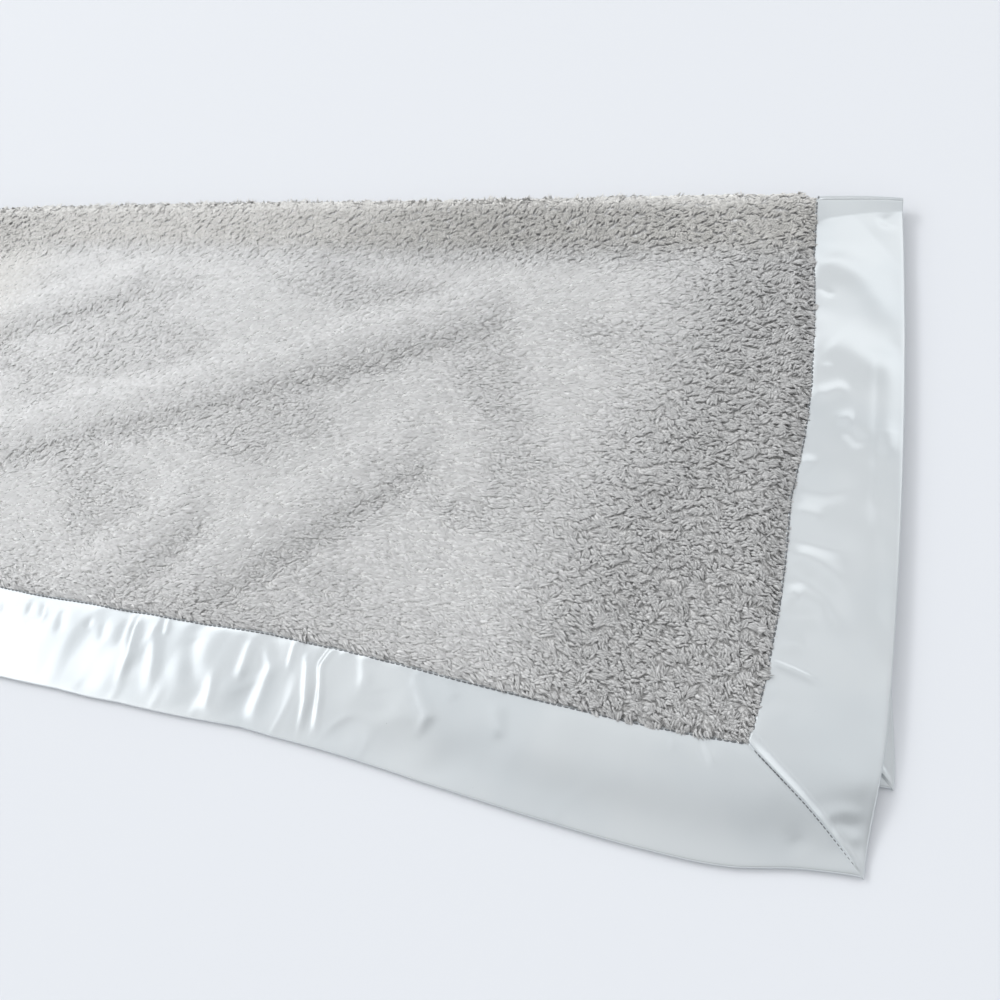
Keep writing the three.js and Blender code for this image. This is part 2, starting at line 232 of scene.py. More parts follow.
@dataclass(frozen=True)
class Lay:
    """How the blanket is cut and how it lies."""

    length: float = 1016.0
    width: float = 762.0
    binding: float = 50.8
    hem_lead: float = 42.0
    panel: float = 3.85
    margin: float = 1.15
    satin: float = 0.9
    thread: float = 0.8
    gap: float = 0.3
    table_gap: float = 0.4
    shoulder_width: float = 12.0
    drape_top: float = 46.0
    drape_foot: float = 4.0
    hem_sway: float = 3.0
    hem_sway_length: float = 310.0
    hem_crest_inset: float = 95.0
    fold_sway: float = 2.5
    fold_sway_length: float = 620.0
    fold_crest_inset: float = 40.0
    end_bow: float = 1.5
    end_bow_depth: float = 6.0
    end_bow_middle: float = 180.0
    end_bow_reach: float = 210.0
    end_bow_fade: float = 200.0
    corner_pull_in: float = 3.2
    corner_pull_back: float = 5.0
    corner_reach: float = 70.0
    corner_stand_out: float = 4.6
    corner_stand_reach: float = 60.0
    lift_share: float = 0.25
    lift_line: Line = ((4.5, 6.6), (24.4, 9.0), (41.8, 13.4), (54.2, 21.7))
    lift_fade: float = 12.0
    even_fold: float = 60.0
    fold_wander: Line = (
        (300.0, 0.0), (343.0, 1.2), (415.0, 2.3), (490.0, 2.4), (532.0, 0.4), (575.0, 0.0), (618.0, -1.3),
        (664.0, -2.7), (713.0, -4.0), (758.0, -5.6), (860.0, -3.0), (960.0, 0.0),
    )
    hem_wander: Line = (
        (0.0, 0.0), (26.0, 0.0), (49.0, -1.5), (125.0, -1.2), (200.0, -1.6), (234.0, -0.7), (269.0, 0.6),
        (287.0, 1.4), (306.0, 3.0), (344.0, 3.2), (386.0, 4.1), (408.0, 3.3), (431.0, 3.0), (454.0, 1.3),
        (478.0, -0.6), (503.0, -1.6), (620.0, 0.0),
    )
    seam_wander: Line = (
        (20.0, 2.0), (47.0, 4.4), (67.0, 2.8), (86.0, 1.2), (116.0, 0.0), (137.0, 0.0), (174.0, 1.0), (212.0, -2.4),
        (247.0, -3.6), (300.0, -1.8), (347.0, 0.4), (390.0, 0.6),
    )
    panel_shoulder_lead: float = 3.0
    panel_shoulder_width: float = 6.5

    @property
    def leaf_thickness(self) -> float:
        """Height of one leaf over the plush."""
        return 2.0 * self.panel + self.gap

    @property
    def binding_thickness(self) -> float:
        """Height of one leaf over the binding."""
        return 2.0 * (self.satin + self.margin) + 3.0 * self.gap

    @property
    def half_length(self) -> float:
        """Distance from the middle to an end."""
        return self.length / 2.0

    @property
    def seam(self) -> float:
        """Inset at which the plush comes out of the binding."""
        return self.binding + self.thread / 2.0 + self.gap

    @property
    def fold(self) -> float:
        """Distance of the fold line from the upper hem."""
        arc = math.pi * (self.leaf_thickness + self.gap) / 2.0
        return self.hem_lead + (self.width - arc - self.hem_lead) / 2.0

    @property
    def front(self) -> float:
        """Y of the upper hem in the frame, from the CAD model's box."""
        return CAD_BOX[0].y / MM + self.hem_sway

    def hem(self, leaf: Leaf) -> float:
        """Give the leaf's hem line."""
        return self.hem_lead if leaf is Leaf.LOWER else 0.0

    def end_inset(self, x: Array) -> Array:
        """Give the distance in from the nearer end."""
        return self.half_length - np.abs(x)

    def inset(self, leaf: Leaf, x: Array, y: Array) -> Array:
        """Give the distance in from the bound edge."""
        return np.minimum(y - self.hem(leaf), self.end_inset(x))

    def shoulder(self, inset: Array) -> Array:
        """Give the share of the pile's full height at an inset."""
        return smooth((inset - self.seam) / self.shoulder_width)

    def rest_height(self, inset: Array) -> Array:
        """Give the height at which the upper leaf lies on the lower."""
        return mix(self.binding_thickness, self.leaf_thickness, self.shoulder(inset)) + self.gap

    def base(self, leaf: Leaf, x: Array, y: Array) -> Array:
        """Give the height of the leaf's underside.

        Args:
            leaf: The leaf.
            x: Distance from the middle of the length.
            y: Distance back from the upper hem.

        Returns:
            The heights above the table.
        """
        if leaf is Leaf.LOWER:
            return np.zeros(np.broadcast(x, y).shape)
        rest = self.rest_height(np.minimum(y - self.hem_lead, self.end_inset(x)))
        drape = smooth((y - self.drape_foot) / (self.drape_top - self.drape_foot))
        return mix(self.table_gap, rest, drape)

    def panel_shoulder(self, inset: Array) -> Array:
        """Give the share of its full height that a panel has at an inset."""
        return smooth((inset - self.seam + self.panel_shoulder_lead) / self.panel_shoulder_width)

    def lifted(self, x: Array, y: Array, z: Array) -> Array:
        """Give the height where the thick fold of the plush lifts the binding, so that the leaves meet level.

        Args:
            x: Distance from the middle of the length.
            y: Distance back from the upper hem.
            z: Height where nothing lifts it.

        Returns:
            The heights above the table.
        """
        inset = self.end_inset(x)
        reach = read_line(self.lift_line, inset)
        past = np.clip((y - self.fold + reach) / reach, 0.0, 1.0)
        held = 1.0 - smooth((inset - self.binding) / self.lift_fade)
        middle = self.rest_height(inset) - self.gap / 2.0
        between = mix(middle, self.leaf_thickness + self.gap / 2.0, past)
        top = 2.0 * middle * (1.0 + self.lift_share * past * held)
        return np.where(z < middle, z * between / middle, mix(between, top, z / middle - 1.0))

    def fold_line(self, x: Array) -> Array:
        """Give how far the fold's back strays from straight."""
        beyond = self.half_length - x
        sway = self.fold_sway * np.cos(2 * np.pi * (beyond - self.fold_crest_inset) / self.fold_sway_length)
        return sway + read_line(self.fold_wander, beyond)

    def laid(self, leaf: Leaf | None, x: Array, y: Array, z: Array) -> Array:
        """Put flat places where they lie.

        Args:
            leaf: The leaf, or None for the cloth round the fold.
            x: Distance from the middle of the length.
            y: Distance from the upper hem.
            z: Height.

        Returns:
            Points in millimetres in the frame.
        """
        x, y, z = np.broadcast_arrays(np.asarray(x, float), np.asarray(y, float), np.asarray(z, float))
        side, end = np.sign(x), self.end_inset(x)
        beyond = self.half_length - x
        hem = -self.hem_sway * np.cos(2 * np.pi * (beyond - self.hem_crest_inset) / self.hem_sway_length)
        back = self.fold_line(x) * (1.0 - smooth((y - self.fold + self.even_fold) / self.even_fold))
        sway = mix(hem, back, np.clip(y / self.fold, 0.0, 1.0))
        along = (np.minimum(y, self.fold) - self.end_bow_middle) / self.end_bow_reach
        bow = side * (self.end_bow - self.end_bow_depth * along**2) * smooth(1 - end / self.end_bow_fade)
        px, py = x + bow, y + sway
        if leaf is Leaf.LOWER:
            near = smooth(1 - end / self.corner_stand_reach)
            px = px + side * self.corner_stand_out * near * smooth(1 - (y - self.hem_lead) / self.corner_stand_reach)
        if leaf is Leaf.UPPER:
            near = smooth(1 - end / self.corner_reach) * smooth(1 - y / self.corner_reach)
            drawn = read_line(self.seam_wander, y) * smooth(end / self.seam)
            drawn = drawn * smooth(1 - (end - self.seam) / self.corner_reach)
            px = px - side * (self.corner_pull_in * near + drawn)
            back = read_line(self.hem_wander, beyond) * smooth(1 - (y - self.seam) / self.corner_reach)
            py = py + self.corner_pull_back * near + back
        return np.stack([px, py + self.front, self.lifted(x, y, z)], -1)

    def place(self, leaf: Leaf, x: Array, y: Array, height: Array) -> Array:
        """Put places given by their height above the leaf's underside where they lie."""
        return self.laid(leaf, x, y, self.base(leaf, x, y) + height)

    def place_fold(self, x: Array, arc: Array, depth: Array) -> Array:
        """Put places on the cloth round the fold where they lie.

        Args:
            x: Distance from the middle of the length.
            arc: Share of the half turn, 0 at the lower leaf and 1 at the upper.
            depth: Height above the lower leaf's underside, before the turn.

        Returns:
            Points in millimetres in the frame.
        """
        centre = self.rest_height(self.end_inset(x)) - self.gap / 2.0
        radius, angle = centre - depth, np.pi * arc
        stray = 1.0 + self.fold_line(np.asarray(x)) / self.leaf_thickness
        y = self.fold + self.gap / 2.0 + radius * np.sin(angle) * stray
        return self.laid(None, x, y, centre - radius * np.cos(angle))


LAY = Lay()
FAR_INSIDE = 1e3


# Making meshes


def deselect() -> None:
    """Leave nothing selected."""
    bpy.ops.object.select_all(action="DESELECT")


def only(obj: Piece) -> None:
    """Select one object and make it active."""
    deselect()
    obj.select_set(True)
    bpy.context.view_layer.objects.active = obj


def grid_piece(name: str, points: Array) -> Piece:
    """Add a grid and move its vertices to the given places.

    Args:
        name: The piece's name.
        points: Places in millimetres, stations along by stations across. The normals face along-cross-across.

    Returns:
        The new object.
    """
    along, across = points.shape[:2]
    deselect()
    bpy.ops.mesh.primitive_grid_add(x_subdivisions=along - 1, y_subdivisions=across - 1, size=1.0)
    obj = bpy.context.object
    obj.name = obj.data.name = name
    flat = np.zeros(along * across * 3, np.float32)
    obj.data.vertices.foreach_get("co", flat)
    flat = flat.reshape(-1, 3)
    i = np.rint((flat[:, 0] + 0.5) * (along - 1)).astype(int)
    j = np.rint((flat[:, 1] + 0.5) * (across - 1)).astype(int)
    obj.data.vertices.foreach_set("co", (points[i, j] * MM).astype(np.float32).ravel())
    obj.data.update()
    return obj


def thicken(obj: Piece, thickness: float) -> None:
    """Give a sheet its thickness, on the side away from its normals.

    Args:
        obj: The sheet.
        thickness: Its thickness, in millimetres.
    """
    only(obj)
    ply = obj.modifiers.new("ply", "SOLIDIFY")
    ply.thickness = thickness * MM
    ply.offset = -1.0
    bpy.ops.object.modifier_apply(modifier=ply.name)
    bpy.ops.object.shade_smooth()


def log_piece(obj: Piece) -> None:
    """Report how fine a piece is and how low it reaches."""
    low = min(vertex.co.z for vertex in obj.data.vertices) / MM
    LOG.info("%s: %d faces, lowest point at %.2f mm", obj.name, len(obj.data.polygons), low)


def unit_shape(obj: Piece) -> tuple[Array, Array]:
    """Take a modelled shape as points and triangles, and remove its object.

    Args:
        obj: The shape's object.

    Returns:
        The points and the triangles.
    """
    obj.data.calc_loop_triangles()
    points = np.array([v.co for v in obj.data.vertices], float)
    triangles = np.array([t.vertices for t in obj.data.loop_triangles], int)
    mesh = obj.data
    bpy.data.objects.remove(obj)
    bpy.data.meshes.remove(mesh)
    return points, triangles


def copies_piece(
    name: str, points: Array, triangles: Array, values: dict[str, Array], facing: Array | None = None
) -> Piece:
    """Make one piece of many copies of a unit shape.

    Args:
        name: The piece's name.
        points: Places in millimetres, copies by points of the shape.
        triangles: The shape's triangles.
        values: Values for each point, by attribute name, copies by points of the shape.
        facing: Normals for each point, where they aren't the mesh's own.

    Returns:
        The new object.
    """
    count, size = points.shape[:2]
    corners = (triangles[None] + (np.arange(count) * size)[:, None, None]).reshape(-1)
    mesh = bpy.data.meshes.new(name)
    mesh.vertices.add(count * size)
    mesh.vertices.foreach_set("co", (points * MM).astype(np.float32).ravel())
    mesh.loops.add(len(corners))
    mesh.loops.foreach_set("vertex_index", corners.astype(np.int32))
    mesh.polygons.add(len(corners) // 3)
    mesh.polygons.foreach_set("loop_start", np.arange(0, len(corners), 3, dtype=np.int32))
    mesh.update(calc_edges=True)
    for label, value in values.items():
        held = mesh.attributes.new(label, "FLOAT", "POINT")
        held.data.foreach_set("value", np.broadcast_to(value, (count, size)).astype(np.float32).ravel())
    obj = bpy.data.objects.new(name, mesh)
    bpy.context.scene.collection.objects.link(obj)
    only(obj)
    bpy.ops.object.shade_smooth()
    if facing is not None:
        mesh.normals_split_custom_set_from_vertices(facing.reshape(-1, 3))
    return obj


def flat_map(obj: Piece) -> None:
    """Give a piece of many copies one map, seen from above.

    Args:
        obj: The piece.
    """
    mesh = obj.data
    low, high = (np.array(c) for c in CAD_BOX)
    co = np.zeros(len(mesh.vertices) * 3, np.float32)
    mesh.vertices.foreach_get("co", co)
    spread = (co.reshape(-1, 3)[:, :2] - low[:2]) / (high - low)[:2]
    corner = np.zeros(len(mesh.loops), np.int32)
    mesh.loops.foreach_get("vertex_index", corner)
    layer = mesh.uv_layers.new(name="OFBake")
    layer.data.foreach_set("uv", np.clip(spread[corner], 0.0, 1.0).astype(np.float32).ravel())


# Finishes


def new_material(name: str) -> Material:
    """Start a material with nodes."""
    material = bpy.data.materials.new(name)
    material.use_nodes = True
    return material


class Wiring:
    """A node tree, with short ways to add to it."""

    def __init__(self, tree: Tree) -> None:
        """Keep the tree."""
        self.tree = tree

    def fill(self, node: bpy.types.Node, inputs: Inputs) -> None:
        """Give each named input its value, or link it to the socket that gives it.

        Args:
            node: The node.
            inputs: Values or sockets, by the input's name or number.
        """
        for label, value in inputs.items():
            if isinstance(value, Socket):
                self.tree.links.new(value, node.inputs[label])
            else:
                node.inputs[label].default_value = value

    def add(self, kind: str, inputs: Inputs | None = None, **settings: str | Tree) -> bpy.types.Node:
        """Add a node.

        Args:
            kind: The node's type.
            inputs: Values for its inputs, or the sockets that give them.
            settings: The node's own settings.

        Returns:
            The new node.
        """
        node = self.tree.nodes.new(kind)
        for label, setting in settings.items():
            setattr(node, label, setting)
        self.fill(node, inputs or {})
        return node

    def mix(self, share: Socket, first: Socket | Triple, second: Socket | Triple) -> Socket:
        """Mix two colours by the share of the second."""
        ends = (c if isinstance(c, Socket) else (*c, 1.0) for c in (first, second))
        return self.add("ShaderNodeMix", dict(zip((0, 6, 7), (share, *ends))), data_type="RGBA").outputs[2]

    def ramp(self, source: Socket, low: float, high: float) -> Socket:
        """Stretch a value so that low becomes 0 and high becomes 1."""
        inputs = {"Value": source, "From Min": low, "From Max": high}
        return self.add("ShaderNodeMapRange", inputs, interpolation_type="SMOOTHSTEP").outputs["Result"]

    def math(self, operation: str, first: Socket, second: Socket | float) -> Socket:
        """Work out one value from two."""
        return self.add("ShaderNodeMath", {0: first, 1: second}, operation=operation).outputs[0]

    def times(self, first: Socket, second: Socket | float) -> Socket:
        """Multiply two values."""
        return self.math("MULTIPLY", first, second)

    def plus(self, first: Socket, second: Socket | float) -> Socket:
        """Add two values."""
        return self.math("ADD", first, second)

    def curve(self, source: Socket, stops: Line) -> Socket:
        """Turn a value into another by soft steps between the given pairs.

        Args:
            source: The value.
            stops: The pairs, a value and what it turns into.

        Returns:
            The socket of the new value.
        """
        node = self.add("ShaderNodeValToRGB", {0: source})
        node.color_ramp.interpolation = "EASE"
        elements = node.color_ramp.elements
        while len(elements) < len(stops):
            elements.new(1.0)
        for element, (place, value) in zip(elements, stops):
            element.position = place
            element.color = (value, value, value, 1.0)
        return node.outputs[0]


def mottle_group() -> Tree:
    """Build the shared effect of slow tone changes and fine grain, in object coordinates.

    Returns:
        A group with a slow mask, a fine mask and a normal.
    """
    group = bpy.data.node_groups.new("cloth mottle", "ShaderNodeTree")
    for label, value in (("Patch Scale", 20.0), ("Grain Scale", 900.0), ("Grain Depth", 0.3), ("Across", 1.0)):
        socket = group.interface.new_socket(label, in_out="INPUT", socket_type="NodeSocketFloat")
        socket.default_value = value
    for label, kind in (("Patch", "Float"), ("Grain", "Float"), ("Normal", "Vector")):
        group.interface.new_socket(label, in_out="OUTPUT", socket_type=f"NodeSocket{kind}")
    wire = Wiring(group)
    given = wire.add("NodeGroupInput").outputs
    place = wire.add("ShaderNodeTexCoord").outputs["Object"]
    stretch = wire.add("ShaderNodeCombineXYZ", {"X": 1.0, "Y": given["Across"], "Z": 1.0}).outputs[0]
    scaled = wire.add("ShaderNodeVectorMath", {0: place, 1: stretch}, operation="MULTIPLY").outputs[0]
    slow = {"Vector": place, "Scale": given["Patch Scale"], "Detail": 3.0}
    fine = {"Vector": scaled, "Scale": given["Grain Scale"], "Detail": 2.0}
    patch, grain = (wire.add("ShaderNodeTexNoise", inputs).outputs["Fac"] for inputs in (slow, fine))
    bump = wire.add("ShaderNodeBump", {"Distance": 0.0004, "Strength": given["Grain Depth"], "Height": grain})
    wire.add("NodeGroupOutput", {"Patch": patch, "Grain": grain, "Normal": bump.outputs["Normal"]})
    return group


class Cloth(Wiring):
    """A cloth's material, with the shared effect placed in it."""

    def __init__(
        self, name: str, mottle: Tree, patch: float, grain: float, depth: float, across: float = 1.0
    ) -> None:
        """Start the material.

        Args:
            name: Its name.
            mottle: The shared effect.
            patch: Scale of the slow mask.
            grain: Scale of the fine mask.
            depth: Strength of the grain's bumps.
            across: How much finer the grain is along y.
        """
        self.material = new_material(name)
        super().__init__(self.material.node_tree)
        values = {"Patch Scale": patch, "Grain Scale": grain, "Grain Depth": depth, "Across": across}
        self.effect = self.add("ShaderNodeGroup", values, node_tree=mottle)

    def own(self, name: str) -> Socket:
        """Read one of the mesh's own values."""
        return self.add("ShaderNodeAttribute", attribute_name=name).outputs["Fac"]

    def masked(self, mask: str, limits: Pair, first: Triple, second: Triple) -> Socket:
        """Mix two colours by one of the effect's masks, stretched between two limits."""
        return self.mix(self.ramp(self.effect.outputs[mask], *limits), first, second)

    def finish(
        self, colour: Socket, roughness: Socket | float, **more: float | tuple[float, ...]
    ) -> Material:
        """Fill the shader's inputs, those in more by their names with a line for each space.

        Args:
            colour: The colour's socket.
            roughness: The roughness, or its socket.
            more: Values of other inputs.

        Returns:
            The material.
        """
        inputs = {"Base Color": colour, "Roughness": roughness, "Normal": self.effect.outputs["Normal"]}
        inputs.update({label.replace("_", " "): value for label, value in more.items()})
        self.fill(self.tree.nodes["Principled BSDF"], inputs)
        return self.material


@dataclass(frozen=True)
class PlushFinish:
    """Soft matt polyester pile, with painted shade in its colour: darker towards the roots of the locks, darker down
    each lock's sides, and a dark backing that stands for the shade between the locks.
    """

    tip: Triple = (0.935, 0.93, 0.92)
    # root is painted shade: the locks darken towards their roots, by the depth attribute
    root: Triple = (0.74, 0.735, 0.725)
    warm: Triple = (0.96, 0.93, 0.87)
    # backing is painted shade: a dark cloth that shows where shade falls between the locks
    backing: Triple = (0.40, 0.395, 0.39)
    shaded_depth: float = 0.45
    roughness: float = 0.9
    sheen: float = 0.12
    glow: float = 0.6
    glow_reach: float = 0.002

    def build(self, mottle: Tree) -> Material:
        """Build the material, which reads the pile's own attributes.

        Args:
            mottle: The shared cloth effect.

        Returns:
            The material.
        """
        cloth = Cloth("plush pile", mottle, patch=9.0, grain=1400.0, depth=0.08)
        depth, tone, warmth, flank_shade = (cloth.own(name) for name in ("depth", "tone", "warmth", "flank_shade"))
        fibre = cloth.mix(warmth, self.tip, self.warm)
        # Painted shade: the colour darkens from the tips down to the roots.
        shaded = cloth.mix(cloth.ramp(depth, 0.0, self.shaded_depth), self.root, fibre)
        # The tone brings painted shade and highlight, and the flank value takes away painted shade down each lock's
        # sides.
        dim = cloth.mix(cloth.math("SUBTRACT", tone, flank_shade), (0.0, 0.0, 0.0), shaded)
        glow = {"Subsurface_Weight": self.glow, "Subsurface_Scale": self.glow_reach, "Subsurface_Radius": (1.0,) * 3}
        return cloth.finish(dim, self.roughness, Sheen_Weight=self.sheen, **glow)

    def build_backing(self, mottle: Tree) -> Material:
        """Build the knitted cloth that the pile grows from, coloured dark as painted shade between the locks."""
        cloth = Cloth("plush backing", mottle, patch=60.0, grain=700.0, depth=0.8)
        return cloth.finish(cloth.masked("Grain", (0.35, 0.65), self.backing, self.root), self.roughness)


@dataclass(frozen=True)
class SatinFinish:
    """Pale polyester satin with a broad soft shine."""

    light: Triple = (0.65, 0.68, 0.695)
    dark: Triple = (0.61, 0.645, 0.665)
    metallic: float = 0.55
    roughness: float = 0.28
    roughness_spread: float = 0.01

    def build(self, mottle: Tree) -> Material:
        """Build the material, with a fine weave in object coordinates.

        Args:
            mottle: The shared cloth effect.

        Returns:
            The material.
        """
        cloth = Cloth("binding satin", mottle, patch=16.0, grain=1500.0, depth=0.015, across=0.25)
        low, high = self.roughness - self.roughness_spread, self.roughness + self.roughness_spread
        inputs = {"Value": cloth.effect.outputs["Grain"], "To Min": low, "To Max": high}
        rough = cloth.add("ShaderNodeMapRange", inputs).outputs["Result"]
        return cloth.finish(cloth.masked("Patch", (0.35, 0.65), self.light, self.dark), rough, Metallic=self.metallic)


@dataclass(frozen=True)
class ThreadFinish:
    """Twisted sewing thread, coloured dark grey as painted shade along the grooves of the seams and mitres."""

    # Both colours are painted shade: dark grey for the shade along the seams and mitres.
    light: Triple = (0.24, 0.255, 0.27)
    dark: Triple = (0.10, 0.105, 0.11)
    roughness: float = 0.55

    def build(self, mottle: Tree) -> Material:
        """Build the material, darker in the lay of the twist."""
        cloth = Cloth("sewing thread", mottle, patch=200.0, grain=2500.0, depth=0.6)
        return cloth.finish(cloth.masked("Grain", (0.4, 0.6), self.dark, self.light), self.roughness)


@dataclass(frozen=True)
class Finishes:
    """The blanket's materials."""

    pile: Material
    backing: Material
    satin: Material
    thread: Material

    @classmethod
    def build(cls) -> "Finishes":
        """Build every material round one shared cloth effect."""
        mottle, plush = mottle_group(), PlushFinish()
        made = (plush.build, plush.build_backing, SatinFinish().build, ThreadFinish().build)
        return cls(*(build(mottle) for build in made))


def dress(obj: Piece, material: Material) -> None:
    """Give a piece its material."""
    obj.data.materials.clear()
    obj.data.materials.append(material)


def settle(obj: Piece, leaf: Leaf | None) -> None:
    """Let a piece ride on its leaf, or keep a piece round the fold where it lies.

    Args:
        obj: The piece.
        leaf: The leaf that it rides on, or None for a piece round the fold.
    """
    if leaf is not None:
        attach(obj, BODY[leaf])
        return
    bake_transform(obj)


# The binding across its width


@dataclass(frozen=True)
class BindingProfile:
    """The folded strip across its width."""

    rim_radius: float = 0.8
    swell_reach: float = 15.0
    mid_low: float = 1.1
    mid_upper: float = 0.3
    mid: float = 2.5
    mid_reach: float = 34.0
    even_from_fold: float = 60.0
    tuck: float = 0.25
    tuck_width: float = 4.5
    ply: float = 0.45

    def thickness(self, inset: Array) -> Array:
        """Give the height of the closed strip at an inset.

        Args:
            inset: Distance in from the bound edge.

        Returns:
            The heights from the lower side to the upper.
        """
        full = LAY.binding_thickness
        grown = 1.0 - np.exp(-np.maximum(inset - self.rim_radius, 0.0) / self.swell_reach)
        tucked = self.tuck * smooth((inset - LAY.binding + self.tuck_width) / self.tuck_width)
        return mix(2.0 * self.rim_radius, full, grown) - 2.0 * tucked

    def middle(self, leaf: Leaf | None, inset: Array, y: Array) -> Array:
        """Give the height of the strip's middle.

        Args:
            leaf: The leaf, or None round the fold.
            inset: Distance in from the bound edge.
            y: Distance back from the upper hem.

        Returns:
            The heights above the leaf's underside.
        """
        if leaf is None:
            return np.full(np.shape(inset), self.mid)
        low = self.mid_low if leaf is Leaf.LOWER else self.mid_low + self.mid_upper
        even = smooth((y - LAY.fold + self.even_from_fold) / self.even_from_fold)
        return mix(low, self.mid, np.maximum(smooth(inset / self.mid_reach), even))

    def around(self, top: int, rim: int, bottom: int) -> tuple[Array, Array, Array]:
        """Give the stations round the strip, from the bottom seam over the rim to the top seam.

        Args:
            top: Stations on the upper side.
            rim: Stations round the rim.
            bottom: Stations on the lower side.

        Returns:
            The inset, the share of half the thickness, and 1 for the upper side.
        """
        inner = LAY.binding
        under = np.linspace(inner, self.rim_radius, bottom)
        over = np.linspace(self.rim_radius, inner, top)
        turn = np.linspace(-np.pi / 2, np.pi / 2, rim + 2)[1:-1]
        inset = np.concatenate([under, self.rim_radius * (1.0 - np.cos(turn)), over])
        share = np.concatenate([-np.ones(bottom), np.sin(turn), np.ones(top)])
        return inset, share, share > 0.5


PROFILE = BindingProfile()


# Plush


@dataclass(frozen=True)
class Ridge:
    """A soft ridge on the upper panel, its ends as shares of the panel's length and of the leaf's depth."""

    start_share: Pair
    end_share: Pair
    height: float = 3.2
    width: float = 31.0

    def points(self) -> tuple[Pair, Pair]:
        """Give the two ends as flat places."""
        panel = LAY.length - 2.0 * LAY.binding
        ends = (self.start_share, self.end_share)
        return tuple(((along - 0.5) * panel, back * LAY.fold) for along, back in ends)

    def at(self, x: Array, y: Array) -> Array:
        """Give the ridge's height at each place."""
        return self.height * smooth(1.0 - distance_to(self.points(), x, y) / self.width)


RIDGES = (
    Ridge((0.445, 0.775), (0.3, 0.64)),
    Ridge((0.777, 0.751), (0.423, 0.39)),
    Ridge((0.76, 0.46), (0.657, 0.21)),
    Ridge((0.617, 0.31), (0.56, 0.14)),
)


